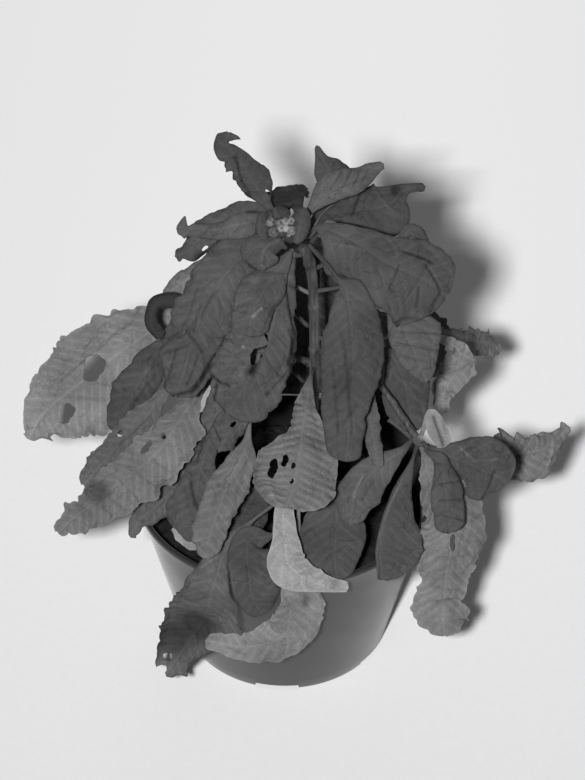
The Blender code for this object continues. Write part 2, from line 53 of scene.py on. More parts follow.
FRONT = (0.0, -0.8, 0.6)

Point = tuple[float, ...]
Socket = bpy.types.NodeSocket
Value = Union[float, Socket]


# Small helpers.


def smoothstep(low: float, high: float, value: np.ndarray) -> np.ndarray:
    """Return 0 below `low`, 1 above `high`, and a smooth step between them."""
    share = np.clip((value - low) / (high - low), 0.0, 1.0)
    return share * share * (3.0 - 2.0 * share)


def follow(stations: np.ndarray, marks: np.ndarray, wanted: np.ndarray) -> np.ndarray:
    """Sample a smooth curve through stations.

    Args:
        stations: one row of values per station.
        marks: the length along the curve at each station.
        wanted: the lengths at which values are wanted.

    Returns:
        One row of values per wanted length.
    """
    last = len(stations) - 1
    low = np.maximum(np.arange(last + 1) - 1, 0)
    high = np.minimum(np.arange(last + 1) + 1, last)
    slopes = (stations[high] - stations[low]) / (marks[high] - marks[low])[:, None]
    index = np.clip(np.searchsorted(marks, wanted, side="right") - 1, 0, last - 1)
    width = (marks[index + 1] - marks[index])[:, None]
    q = (wanted - marks[index])[:, None] / width
    start = 2 * q**3 - 3 * q**2 + 1
    start_slope = (q**3 - 2 * q**2 + q) * width
    stop = -2 * q**3 + 3 * q**2
    stop_slope = (q**3 - q**2) * width
    return (start * stations[index] + start_slope * slopes[index]
            + stop * stations[index + 1] + stop_slope * slopes[index + 1])


def lengths(points: np.ndarray) -> np.ndarray:
    """Return the running length along a row of points, starting at 0."""
    steps = np.linalg.norm(np.diff(points, axis=0), axis=1)
    return np.concatenate([[0.0], np.cumsum(steps)])


def unit(vectors: np.ndarray) -> np.ndarray:
    """Return vectors of length 1 along the last axis."""
    size = np.linalg.norm(vectors, axis=-1, keepdims=True)
    return vectors / np.maximum(size, 1e-9)


def wander(rng: np.random.Generator, marks: np.ndarray, step: float) -> np.ndarray:
    """Return a smooth random line from -1 to 1 that changes about every `step`."""
    span = marks[-1] - marks[0]
    knots = max(4, int(span / step) + 3)
    values = rng.uniform(-1.0, 1.0, knots)
    place = (marks - marks[0]) / max(span, 1e-6) * (knots - 2)
    index = np.clip(place.astype(int), 0, knots - 2)
    share = place - index
    share = share * share * (3 - 2 * share)
    return values[index] * (1 - share) + values[index + 1] * share


def bell(offset: np.ndarray, width: float) -> np.ndarray:
    """Return 1 at no offset, falling off smoothly over `width`."""
    return np.exp(-(offset / width) ** 2)


def place_object(name: str, data: bpy.types.ID) -> bpy.types.Object:
    """Return a new scene object at the origin that shows the data."""
    item = bpy.data.objects.new(name, data)
    data.name = name
    bpy.context.scene.collection.objects.link(item)
    return item


def make_mesh(points: np.ndarray, faces: Sequence = (), edges: Sequence = (),
              material: Optional[bpy.types.Material] = None) -> bpy.types.Mesh:
    """Return a new mesh of points and faces or edges, dressed in a material."""
    mesh = bpy.data.meshes.new("plain")
    mesh.from_pydata(np.asarray(points).tolist(), edges, faces)
    if material is not None:
        mesh.materials.append(material)
    return mesh


def store(mesh: bpy.types.Mesh, name: str, values: np.ndarray) -> None:
    """Store a number or a vector for each point of a mesh as a named attribute."""
    kind, key = ("FLOAT", "value") if values.ndim == 1 else ("FLOAT_VECTOR", "vector")
    layer = mesh.attributes.new(name, kind, "POINT")
    layer.data.foreach_set(key, values.astype(np.float32).ravel())


def make_plain(item: bpy.types.Object) -> None:
    """Swap an object's mesh for the plain result of its modifiers, and remove them."""
    bpy.context.view_layer.update()
    depsgraph = bpy.context.evaluated_depsgraph_get()
    result = bpy.data.meshes.new_from_object(item.evaluated_get(depsgraph))
    old = item.data
    item.modifiers.clear()
    item.data = result
    result.name = item.name
    bpy.data.meshes.remove(old)


def hand_over(item: bpy.types.Object, slot: str, node: Optional[str] = None) -> None:
    """Let a finished piece ride on the body, name its slot and the node it stands for."""
    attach(item, BODY)
    if node is not None:
        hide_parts(node)
    LOG.info("%s: %d faces, slot %s", item.name, len(item.data.polygons), slot)


def revolve(profile: Sequence[tuple[float, float]], steps: int) -> tuple[np.ndarray, list]:
    """Turn a closed profile about the Z axis.

    Args:
        profile: points (radius, height) from the axis outward, down and back to the axis.
        steps: number of steps round the axis.

    Returns:
        The vertex positions and the faces, which point outward.
    """
    points = [(0.0, 0.0, profile[0][1])]
    faces = []
    ring = profile[1:-1]
    angles = [2 * math.pi * step / steps for step in range(steps)]
    for radius, height in ring:
        points += [(radius * math.cos(a), radius * math.sin(a), height) for a in angles]
    points.append((0.0, 0.0, profile[-1][1]))
    end = len(points) - 1
    for step in range(steps):
        after = (step + 1) % steps
        faces.append((0, 1 + step, 1 + after))
        for level in range(len(ring) - 1):
            here = 1 + level * steps
            below = here + steps
            faces.append((here + step, below + step, below + after, here + after))
        low = 1 + (len(ring) - 1) * steps
        faces.append((low + step, end, low + after))
    return np.array(points), faces


# Node trees.


class NodeBench:
    """Adds and wires the nodes of one tree."""

    def __init__(self, tree: bpy.types.NodeTree) -> None:
        """Keep the tree that the nodes go into."""
        self.tree = tree

    def feed(self, socket: Socket, value: Value) -> None:
        """Wire an output socket to an input, or set the input to a plain value."""
        if isinstance(value, Socket):
            self.tree.links.new(value, socket)
        else:
            socket.default_value = value

    def add(self, kind: str, inputs: Optional[dict] = None, **settings) -> bpy.types.Node:
        """Add a node.

        Args:
            kind: the node's type name.
            inputs: values or output sockets for inputs, by name or by number.
            settings: the node's own properties.

        Returns:
            The new node.
        """
        node = self.tree.nodes.new(kind)
        for name, value in settings.items():
            setattr(node, name, value)
        for key, value in (inputs or {}).items():
            self.feed(node.inputs[key], value)
        return node

    def math(self, operation: str, *values: Value) -> Socket:
        """Return the output of a Math node with these values or sockets."""
        return self.add("ShaderNodeMath", dict(enumerate(values)), operation=operation).outputs[0]

    def product(self, *values: Value) -> Socket:
        """Return the product of values or sockets."""
        total = values[0]
        for value in values[1:]:
            total = self.math("MULTIPLY", total, value)
        return total

    def off_centre(self, value: Socket) -> Socket:
        """Return a factor less its middle value of a half."""
        return self.math("SUBTRACT", value, 0.5)

    def spread(self, value: Value, low: float, high: float, start: float = 0.3,
               stop: float = 0.7) -> Socket:
        """Return a value mapped from start..stop to low..high."""
        return self.add("ShaderNodeMapRange",
                        {"Value": value, "From Min": start, "From Max": stop,
                         "To Min": low, "To Max": high}).outputs[0]

    def noise(self, vector: Socket, scale: float, detail: float = 3.0,
              rough: float = 0.55) -> Socket:
        """Return the factor of a noise texture."""
        return self.add("ShaderNodeTexNoise", {"Vector": vector, "Scale": scale,
                                               "Detail": detail, "Roughness": rough}).outputs[0]

    def cells(self, vector: Socket, scale: float, feature: str = "F1") -> Socket:
        """Return the distance output of a cell texture."""
        return self.add("ShaderNodeTexVoronoi", {"Vector": vector, "Scale": scale},
                        feature=feature).outputs["Distance"]

    def scaled(self, vector: Socket, factor: Value) -> Socket:
        """Return a vector times a factor."""
        return self.add("ShaderNodeVectorMath", {0: vector, "Scale": factor},
                        operation="SCALE").outputs[0]


class MaterialBench(NodeBench):
    """The bench of one new material, with its coordinates and its Principled shader."""

    def __init__(self, name: str) -> None:
        """Make the material."""
        self.material = bpy.data.materials.new(name)
        self.material.use_nodes = True
        super().__init__(self.material.node_tree)
        self.coords = self.add("ShaderNodeTexCoord").outputs
        self.space = self.coords["Object"]

    def attribute(self, name: str) -> Socket:
        """Return the factor of one of the mesh's attributes."""
        return self.add("ShaderNodeAttribute", attribute_name=name).outputs["Fac"]

    def drawn(self, *scale: float) -> Socket:
        """Return Object coordinates scaled by one factor for each axis."""
        return self.add("ShaderNodeMapping", {"Vector": self.space, "Scale": scale}).outputs[0]

    def finish(self, colour: Socket, roughness: Value, relief: Sequence = (),
               **settings: float) -> bpy.types.Material:
        """Wire the shader.

        Args:
            colour: the base colour.
            roughness: the roughness.
            relief: height, strength and distance (in metres) of the bump, where there is one.
            settings: plain values of other inputs, with _ for a space in their names.

        Returns:
            The finished material.
        """
        inputs = self.tree.nodes["Principled BSDF"].inputs
        self.feed(inputs["Base Color"], colour)
        self.feed(inputs["Roughness"], roughness)
        if relief:
            bump = self.add("ShaderNodeBump",
                            dict(zip(("Height", "Strength", "Distance"), relief)))
            self.feed(inputs["Normal"], bump.outputs[0])
        for name, value in settings.items():
            inputs[name.replace("_", " ")].default_value = value
        return self.material


@dataclass(frozen=True)
class LeafFinish:
    """Dry leaf skin: vein net, blotches, paler veins, painted crease shade and a painted edge band.
    """

    name: str
    roughness: float = 0.62
    specular: float = 0.3
    blotch: float = 0.2
    grain: float = 0.16
    net_gain: float = 0.10
    net_scale: float = 420.0
    # Dark crease lines: painted shade in the creases, laid in the bump's grooves.
    crease_shade_gain: float = 0.3
    line_scale: float = 95.0
    vein_gain: float = 0.35
    # Edge band gain: below 0 it darkens leaf edges as painted shade along leaf borders, together
    # with browned edges; above 0 it lightens the edges.
    painted_edge_gain: float = 0.25
    relief: float = 0.35

    def build(self) -> bpy.types.Material:
        """Build the material. It reads the piece's tone, vein and rim attributes and its UV."""
        bench = MaterialBench(self.name)
        skin = bench.coords["UV"]
        tone, vein, rim = (bench.attribute(name) for name in ("tone", "vein", "rim"))
        blotch = bench.noise(bench.space, 55.0, 4.0)
        grain = bench.noise(bench.space, 900.0, 4.0, 0.7)
        drift = bench.add("ShaderNodeTexNoise", {"Vector": skin, "Scale": 160.0, "Detail": 2.0})
        moved = bench.add("ShaderNodeVectorMath",
                          {0: skin, 1: bench.scaled(drift.outputs[1], 0.0016)},
                          operation="ADD").outputs[0]
        net = bench.spread(bench.cells(moved, self.net_scale, "DISTANCE_TO_EDGE"),
                           1.0, 0.0, 0.0, 0.16)
        # Thin noise ridges give the crease lines: painted shade darkening the colour, with a groove
        # in the bump.
        ridge = bench.noise(moved, self.line_scale, 2.0, 0.5)
        away = bench.math("ABSOLUTE", bench.off_centre(ridge))
        line = bench.product(bench.spread(away, 1.0, 0.0, 0.0, 0.022),
                             bench.spread(bench.noise(skin, 60.0, 1.0), 0.0, 1.0, 0.42, 0.6))
        shades = [bench.spread(value, 1 - gain, 1 + gain)
                  for value, gain in ((blotch, self.blotch), (grain, self.grain))]
        # The edge band below carries painted shade along leaf borders, and the crease lines carry
        # painted shade in the creases.
        shades += [bench.math("MULTIPLY_ADD", value, gain, 1.0)
                   for value, gain in ((net, self.net_gain), (vein, self.vein_gain),
                                       (rim, self.painted_edge_gain), (line, -self.crease_shade_gain))]
        height = bench.math("MULTIPLY", grain, 0.5)
        for value, gain in ((net, -0.6), (vein, 0.5), (line, -1.5)):
            height = bench.math("MULTIPLY_ADD", value, gain, height)
        return bench.finish(bench.product(tone, *shades),
                            bench.spread(grain, self.roughness - 0.08, self.roughness + 0.1),
                            (height, self.relief, 0.0003), Specular_IOR_Level=self.specular)


@dataclass(frozen=True)
class PlasticFinish:
    """Dull moulded plastic with dust, scuffs and faint mould rings, darkened inside as painted
    shade.

    The inner wall's radius is inner_foot at the foot and grows by lean with height.
    """

    name: str = "pot_plastic"
    # Colour factor inside the pot: painted shade.
    inner_shade: float = 0.3
    inner_foot: float = 0.0546
    lean: float = 0.2061
    tone: float = 0.026
    roughness: float = 0.42
    specular: float = 0.4
    sheen: float = 0.27
    sheen_roughness: float = 0.45

    def build(self) -> bpy.types.Material:
        """Build the material on Object coordinates."""
        bench = MaterialBench(self.name)
        dust = bench.noise(bench.space, 38.0, 5.0)
        speck = bench.noise(bench.space, 1500.0, 3.0, 0.7)
        rings = bench.noise(bench.drawn(30.0, 30.0, 2600.0), 1.0, 2.0)
        scuff = bench.noise(bench.drawn(900.0, 900.0, 45.0), 1.0, 4.0, 0.6)
        x, y, z = bench.add("ShaderNodeSeparateXYZ", {"Vector": bench.space}).outputs
        across = bench.math("SQRT", bench.math("ADD", bench.product(x, x), bench.product(y, y)))
        inner_wall = bench.math("MULTIPLY_ADD", z, self.lean, self.inner_foot)
        # Inside the inner wall the colour is darkened: painted shade in the pot's hollow.
        inside = bench.spread(bench.math("SUBTRACT", across, inner_wall), self.inner_shade, 1.0,
                              -0.0002, 0.0004)
        colour = bench.product(bench.spread(dust, self.tone * 0.92, self.tone * 1.1),
                               bench.spread(speck, 0.95, 1.06),
                               bench.spread(scuff, 1.0, 1.22, 0.6, 0.8), inside)
        height = bench.math("MULTIPLY_ADD", rings, 0.5, bench.math("MULTIPLY", speck, 0.4))
        return bench.finish(colour,
                            bench.spread(dust, self.roughness - 0.06, self.roughness + 0.12),
                            (height, 0.25, 0.0002), Specular_IOR_Level=self.specular,
                            Sheen_Weight=self.sheen, Sheen_Roughness=self.sheen_roughness)


@dataclass(frozen=True)
class SoilFinish:
    """Dry peat with fibres and pale grains."""

    name: str = "potting_soil"
    tone: float = 0.016

    def build(self) -> bpy.types.Material:
        """Build the material on Object coordinates."""
        bench = MaterialBench(self.name)
        clod = bench.noise(bench.space, 160.0, 6.0, 0.65)
        pale = bench.spread(bench.cells(bench.space, 420.0), 3.2, 1.0, 0.05, 0.12)
        colour = bench.product(bench.spread(clod, self.tone * 0.45, self.tone * 1.7), pale)
        return bench.finish(colour, 0.95, (clod, 0.9, 0.002), Specular_IOR_Level=0.1)


@dataclass(frozen=True)
class BarkFinish:
    """Dry stem skin with long streaks, partly painted highlight, and pale corky dots."""

    name: str = "stem_bark"
    tone: float = 0.041

    def build(self) -> bpy.types.Material:
        """Build the material. Its rings follow the piece's `reach` attribute."""
        bench = MaterialBench(self.name)
        streak = bench.noise(bench.drawn(620.0, 620.0, 55.0), 1.0, 4.0, 0.6)
        patch = bench.noise(bench.space, 90.0, 3.0)
        rings = bench.add("ShaderNodeTexNoise",
                          {"W": bench.attribute("reach"), "Scale": 260.0, "Detail": 2.0},
                          noise_dimensions="1D").outputs[0]
        dots = bench.spread(bench.cells(bench.space, 620.0), 1.5, 1.0, 0.08, 0.2)
        # The long pale streaks are bark streaks and also stand in for highlights along the stem:
        # partly painted highlight.
        colour = bench.product(bench.spread(streak, self.tone * 0.45, self.tone * 2.4, 0.35, 0.7),
                               bench.spread(patch, 0.75, 1.3), dots)
        height = bench.math("MULTIPLY_ADD", rings, 0.6, streak)
        return bench.finish(colour, 0.7, (height, 0.5, 0.0006))


@dataclass(frozen=True)
class BeadFinish:
    """Waxy bead buds with darker mouths."""

    name: str = "bead_bud"

    def build(self) -> bpy.types.Material:
        """Build the material. The `tone` attribute dims single beads and their mouths."""
        bench = MaterialBench(self.name)
        blotch = bench.noise(bench.space, 700.0, 4.0, 0.6)
        colour = bench.product(bench.attribute("tone"), bench.spread(blotch, 0.55, 1.35))
        return bench.finish(colour, bench.spread(blotch, 0.45, 0.7), (blotch, 0.4, 0.0004),
                            Specular_IOR_Level=0.2)


@dataclass(frozen=True)
class PaperFinish:
    """Pale seamless paper of the studio floor."""

    name: str = "studio_paper"
    tone: float = 0.8

    def build(self) -> bpy.types.Material:
        """Build the material on Object coordinates."""
        bench = MaterialBench(self.name)
        fibre = bench.noise(bench.space, 240.0, 5.0, 0.6)
        return bench.finish(bench.spread(fibre, self.tone * 0.985, self.tone * 1.01), 0.9,
                            Specular_IOR_Level=0.1)


# Geometry trees.


class GeometryTool(NodeBench):
    """A Geometry Nodes tree that is run on one object and leaves a plain mesh."""

    def __init__(self, name: str) -> None:
        """Make an empty tree with a geometry input and output."""
        super().__init__(bpy.data.node_groups.new(name, "GeometryNodeTree"))
        self.keys: dict[str, str] = {}
        for way in ("INPUT", "OUTPUT"):
            self.tree.interface.new_socket("Geometry", in_out=way,
                                           socket_type="NodeSocketGeometry")
        self.source = self.add("NodeGroupInput")
        self.sink = self.add("NodeGroupOutput")

    def knob(self, name: str, kind: str, value: Optional[float] = None) -> Socket:
        """Add a named input of a kind and return its socket inside the tree."""
        socket = self.tree.interface.new_socket(name, in_out="INPUT",
                                                socket_type=f"NodeSocket{kind}")
        if value is not None:
            socket.default_value = value
        self.keys[name] = socket.identifier
        return self.source.outputs[name]

    def stored(self, name: str, kind: str = "FLOAT_VECTOR") -> Socket:
        """Return a named attribute of the mesh."""
        return self.add("GeometryNodeInputNamedAttribute", {"Name": name},
                        data_type=kind).outputs[0]

    def push(self, geometry: Socket, direction: Socket, amount: Socket) -> Socket:
        """Return the geometry with its points moved along a direction."""
        return self.add("GeometryNodeSetPosition",
                        {"Geometry": geometry,
                         "Offset": self.scaled(direction, amount)}).outputs[0]

    def close(self, geometry: Socket) -> None:
        """End the tree in Realize Instances and Set Material."""
        material = self.knob("Material", "Material")
        real = self.add("GeometryNodeRealizeInstances", {"Geometry": geometry})
        dressed = self.add("GeometryNodeSetMaterial",
                           {"Geometry": real.outputs[0], "Material": material})
        self.feed(self.sink.inputs[0], dressed.outputs[0])

    def run(self, item: bpy.types.Object, **values) -> None:
        """Run the tree on a mesh object and leave a plain mesh and no modifier.

        Args:
            item: the mesh object.
            values: the inputs by name.
        """
        modifier = item.modifiers.new("Tool", "NODES")
        modifier.node_group = self.tree
        for name, value in values.items():
            modifier[self.keys[name]] = value
        make_plain(item)


def crumple_tool() -> GeometryTool:
    """Return a tool that crumples a leaf along its `lift` by noise over its `flat` place."""
    tool = GeometryTool("leaf_crumple")
    seed, broad, fine, broad_scale, fine_scale, crease, crease_scale = (
        tool.knob(name, "Float", value) for name, value in (
            ("Seed", 0.0), ("Broad", 0.001), ("Fine", 0.0003), ("Broad scale", 90.0),
            ("Fine scale", 320.0), ("Crease", 0.0005), ("Crease scale", 75.0)))
    flat = tool.stored("flat")
    lift = tool.stored("lift")
    parts = []
    for turn, scale, detail in ((seed, broad_scale, 2.0), (seed, fine_scale, 2.0),
                                (tool.math("ADD", seed, 31.0), crease_scale, 1.0)):
        wave = tool.add("ShaderNodeTexNoise",
                        {"Vector": flat, "W": turn, "Scale": scale, "Detail": detail},
                        noise_dimensions="4D").outputs[0]
        parts.append(tool.off_centre(wave))
    waves = [tool.product(part, 2.0, height) for part, height in zip(parts, (broad, fine))]
    dip = tool.spread(tool.math("ABSOLUTE", parts[2]), 1.0, 0.0, 0.0, 0.05)
    total = tool.math("SUBTRACT", tool.math("ADD", *waves), tool.product(dip, crease))
    tool.close(tool.push(tool.source.outputs[0], lift, total))
    return tool


def sweep_tool() -> GeometryTool:
    """Return a tool that sweeps a round section of radius `girth` along an edge chain."""
    tool = GeometryTool("stem_sweep")
    steps = tool.knob("Steps", "Int", 20)
    rough = tool.knob("Bark height", "Float", 0.0002)
    line = tool.add("GeometryNodeMeshToCurve", {"Mesh": tool.source.outputs[0]})
    ring = tool.add("GeometryNodeCurvePrimitiveCircle", {"Resolution": steps, "Radius": 1.0})
    tube = tool.add("GeometryNodeCurveToMesh",
                    {"Curve": line.outputs[0], "Profile Curve": ring.outputs[0],
                     "Scale": tool.stored("girth", "FLOAT"), "Fill Caps": True})
    bark = tool.noise(tool.add("GeometryNodeInputPosition").outputs[0], 420.0, 3.0)
    moved = tool.push(tube.outputs[0], tool.add("GeometryNodeInputNormal").outputs[0],
                      tool.product(tool.off_centre(bark), rough))
    tool.close(tool.add("GeometryNodeSetShadeSmooth", {"Geometry": moved}).outputs[0])
    return tool


def scatter_tool() -> GeometryTool:
    """Return a tool that strews crumbs over a surface."""
    tool = GeometryTool("soil_scatter")
    density = tool.knob("Density", "Float", 90000.0)
    seed = tool.knob("Seed", "Int", 3)
    small = tool.knob("Smallest", "Float", 0.0004)
    large = tool.knob("Largest", "Float", 0.0016)
    points = tool.add("GeometryNodeDistributePointsOnFaces",
                      {"Mesh": tool.source.outputs[0], "Density": density, "Seed": seed})
    crumb = tool.add("GeometryNodeMeshIcoSphere", {"Radius": 1.0, "Subdivisions": 1})
    size = tool.add("FunctionNodeRandomValue", {2: small, 3: large, "Seed": seed},
                    data_type="FLOAT")
    turn = tool.add("FunctionNodeRandomValue", {1: (6.28, 6.28, 6.28), "Seed": seed},
                    data_type="FLOAT_VECTOR")
    stretch = tool.add("FunctionNodeRandomValue",
                       {0: (0.6, 0.6, 0.5), 1: (1.5, 1.0, 0.9), "Seed": seed},
                       data_type="FLOAT_VECTOR")
    strewn = tool.add("GeometryNodeInstanceOnPoints",
                      {"Points": points.outputs[0], "Instance": crumb.outputs[0],
                       "Rotation": turn.outputs[0],
                       "Scale": tool.scaled(stretch.outputs[0], size.outputs[1])})
    tool.close(strewn.outputs[0])
    return tool


# Leaves.


class Skin(Enum):
    """The three leaf skins, by the record's slot names."""

    BRACT = "bract_dry"
    DARK = "leaf_dry"
    PALE = "leaf_pale"


SKINS = {
    # Bract and dark skins darken their edge band as painted shade along leaf borders; the pale skin
    # lightens its edges; line gains paint shade in the creases.
    Skin.BRACT: LeafFinish("bract_skin", roughness=0.62, specular=0.12, net_gain=0.04,
                           vein_gain=0.2, painted_edge_gain=-0.35, relief=0.3),
    Skin.DARK: LeafFinish("dark_leaf_skin", roughness=0.64, specular=0.12, net_gain=0.05,
                          vein_gain=0.24, painted_edge_gain=-0.3, relief=0.35),
    Skin.PALE: LeafFinish("pale_leaf_skin", roughness=0.8, specular=0.08, blotch=0.26,
                          grain=0.16, net_gain=0.07, net_scale=760.0, vein_gain=0.2,
                          painted_edge_gain=0.2, crease_shade_gain=0.16, relief=0.5),
}


@dataclass(frozen=True)
class Wear:
    """How far a leaf has dried. Heights are in millimetres, angles in degrees."""

    broad: float = 0.7
    fine: float = 0.25
    broad_scale: float = 90.0
    fine_scale: float = 330.0
    ragged: float = 0.05
    ruffle: float = 0.5
    ruffle_gap: float = 7.0
    rib_gap: float = 5.0
    rib_slant: float = 0.8
    pucker: float = 0.16
    midrib: float = -0.35
    crease: float = 0.5
    crease_scale: float = 75.0
    rib_tone: float = 0.05


SOFT = Wear()
CREASED = Wear(broad=1.9, fine=0.5, ragged=0.12, ruffle=1.1, pucker=0.3, crease=1.2,
               rib_tone=0.1)
CRISP = Wear(broad=1.5, fine=0.5, ragged=0.17, ruffle=1.3, ruffle_gap=6.0, pucker=0.4,
             rib_gap=4.5, crease=1.1, crease_scale=95.0, rib_tone=0.13)
SCALLOPED = Wear(broad=1.3, fine=0.4, ragged=0.05, ruffle=1.2, ruffle_gap=3.4, pucker=0.8,
                 rib_gap=3.4, rib_slant=0.25, midrib=-0.2, crease=0.8, crease_scale=95.0,
                 rib_tone=0.4)
CURLED = Wear(broad=1.6, fine=0.5, ragged=0.045, ruffle=0.8, pucker=0.3, crease=1.2,
              rib_tone=0.08)
SHRIVELLED = Wear(broad=2.1, fine=0.8, broad_scale=110.0, fine_scale=380.0, ragged=0.22,
                  ruffle=1.8, ruffle_gap=5.0, pucker=0.5, rib_gap=4.0, crease=1.4,
                  crease_scale=110.0, rib_tone=0.13)


@dataclass(frozen=True)
class Fold:
    """A crease between two places (u, v) of the blade, with depth and width in mm, and a tone gain
    along it: painted shade below 1, painted highlight along ridges and pale midribs above 1.
    """

    start: tuple[float, float]
    stop: tuple[float, float]
    depth: float = -0.8
    width: float = 0.7
    tone: float = 0.75


@dataclass(frozen=True)
class Gap:
    """A hole at (u, v) with radii in mm along and across the blade."""

    place: tuple[float, float]
    along: float
    across: float


@dataclass(frozen=True)
class Patch:
    """A soft round place at (u, v): a tone gain and a dent, within a radius in mm."""

    place: tuple[float, float]
    radius: float
    # Tone gain: below 1 it paints shade in a hollow, above 1 it lightens a spot, partly as a
    # painted highlight on a bump.
    tone: float = 1.0
    dent: float = 0.0


@dataclass(frozen=True)
class Lobe:
    """An outline bump (mm, + outward) at u, on the near (-1) or far (+1) side."""

    u: float
    side: int
    reach: float
    width: float = 2.0


LEAST_HALF = 0.4
EMBEDDED = 1.6
STALK_SUM, BLADE_SUM, SHEET_SUM = 2.4, 6.5, 5.4
SHEET_EDGE, SHEET_CROWN = 0.15, 0.07
STALK_EDGE, STALK_CROWN = 0.06, 0.9
MIDRIB_DEPTH = 0.35
SEED_STEP = 13.7
SKIN_START, SKIN_STEP = 0.2, 0.31
LENGTH_SQUASH = 0.7
ROOT_LIFT, RIM_LIFT = 0.35, 0.65


@dataclass(frozen=True)
class DryLeaf:
    """One leaf, from its stalk to its tip, along midrib stations in millimetres.

    stalk: points (x, y, z) from the stem outward.
    blade: stations (x, y, z, near half width, far half width).
    cup: degrees by which the sides bend back from the midrib.
    curl: degrees by which the near and far edges roll toward the face.
    """

    name: str
    skin: Skin
    tone: float
    stalk: tuple
    blade: tuple
    cup: float
    wear: Wear = SOFT
    face: Point = FRONT
    wave: float = 1.0
    curl: tuple[float, float] = (0.0, 0.0)
    marks: tuple = ()

    def stations(self) -> np.ndarray:
        """Return stalk and blade stations as rows of five values."""
        rows = [(*point, 1.0, 1.0) for point in self.stalk] + list(self.blade)
        return np.array(rows, float)

    def sheet(self, phase: float, grain: float = 0.75) -> dict[str, np.ndarray]:
        """Shape the middle surface of the leaf.

        Args:
            phase: turn of the leaf's slow wave, in rounds.
            grain: wanted distance between grid points, in mm.

        Returns:
            Grids by name: points, normal and row_normal; s and d, the lengths along and
            across in mm, and u and v, the same as shares; half, the half width, and sums, the
            whole width; blade, which is 0 on the stalk; tone, vein and rim; and keep, which
            cells stay.
        """
        stations = self.stations()
        rng = np.random.default_rng(int(phase * 100) + 7)
        knots = lengths(stations[:, :3])
        lead = knots[len(self.stalk)]
        embed = EMBEDDED if self.stalk else 0.0
        count = max(16, int((knots[-1] + embed) / grain))
        s = np.linspace(-embed, knots[-1], count)
        rows = follow(stations, knots, np.maximum(s, 0.0))
        start = unit(stations[1, :3] - stations[0, :3])
        rows[:, :3] += np.minimum(s, 0.0)[:, None] * start
        u = (s - lead) / (knots[-1] - lead)
        sums = np.maximum(rows[:, 3:5], LEAST_HALF).sum(axis=1)
        blade = smoothstep(STALK_SUM, BLADE_SUM, sums)
        halves = self._outline(rows, s, u, blade, rng)
        widest = max(stations[:, 3].max(), stations[:, 4].max())
        side_count = max(6, int(max(halves.max(), 1.0) / grain))
        ramp = np.linspace(0.0, 1.0, side_count + 1)
        along = unit(np.gradient(rows[:, :3], axis=0))
        face = np.array(self.face)
        normal = unit(self._blur(unit(face - along * (along @ face)[:, None]), 4))
        side = np.cross(normal, along)
        toward = math.copysign(1.0, self.cup)
        bend = math.radians(abs(self.cup)) / widest
        parts = []
        for half, curl in zip(halves, self.curl):
            reach = ramp[None, :] * half[:, None]
            middle = (reach[:, 1:] + reach[:, :-1]) / 2
            share = (ramp[1:] + ramp[:-1]) / 2
            roll = math.radians(curl) * smoothstep(0.45, 1.0, share)[None, :]
            roll = roll * (blade * (1 + 0.45 * wander(rng, s, 9.0)))[:, None]
            heading = toward * bend * middle + roll
            step = np.diff(reach, axis=1)
            parts.append([reach] + [
                np.hstack([np.zeros((count, 1)), np.cumsum(turn(heading) * step, axis=1)])
                for turn in (np.cos, np.sin)])
        d, out, up = (np.hstack([sign * near[:, :0:-1], far])
                      for sign, near, far in zip((-1, -1, 1), *parts))
        v = np.tile(np.concatenate([-ramp[:0:-1], ramp]), (count, 1))
        half = np.where(v < 0, halves[0][:, None], halves[1][:, None])
        points = (rows[:, None, :3] + side[:, None] * out[:, :, None]
                  + normal[:, None] * up[:, :, None])
        grid = {
            "points": points, "s": s[:, None] + 0 * v, "d": d, "v": v,
            "u": u[:, None] + 0 * v, "half": half, "blade": blade[:, None] + 0 * v,
            "row_normal": normal[:, None] + 0 * points, "sums": sums[:, None] + 0 * v,
        }
        self._relief(grid, phase, widest, rng)
        return grid

    @staticmethod
    def _blur(rows: np.ndarray, reach: int) -> np.ndarray:
        """Return rows averaged with their neighbours."""
        padded = np.pad(rows, ((reach, reach), (0, 0)), mode="edge")
        window = 2 * reach + 1
        total = np.cumsum(np.vstack([np.zeros((1, rows.shape[1])), padded]), axis=0)
        return (total[window:] - total[:-window]) / window

    def _outline(self, rows: np.ndarray, s: np.ndarray, u: np.ndarray, blade: np.ndarray,
                 rng: np.random.Generator) -> np.ndarray:
        """Return the near and far half widths with raggedness, lobes and a round tip."""
        result = []
        for sign, column in ((-1, 3), (1, 4)):
            half = np.maximum(rows[:, column], LEAST_HALF)
            rough = 0.6 * wander(rng, s, 4.5) + 0.4 * wander(rng, s, 1.6)
            rough -= 0.5 * np.maximum(wander(rng, s, 2.3) - 0.55, 0.0)
            half = half * (1 + self.wear.ragged * rough * blade)
            for lobe in self.marks:
                if isinstance(lobe, Lobe) and lobe.side == sign:
                    place = np.interp(lobe.u, u, s)
                    half = half + lobe.reach * bell(s - place, lobe.width)
            tip = np.maximum(0.55 * half[-1], 1.0)
            left = np.clip((s[-1] - s) / tip, 0.0, 1.0)
            half = half * np.sqrt(np.maximum(1 - (1 - left) ** 2, 0.02))
            result.append(np.maximum(half, 0.25))
        return np.array(result)

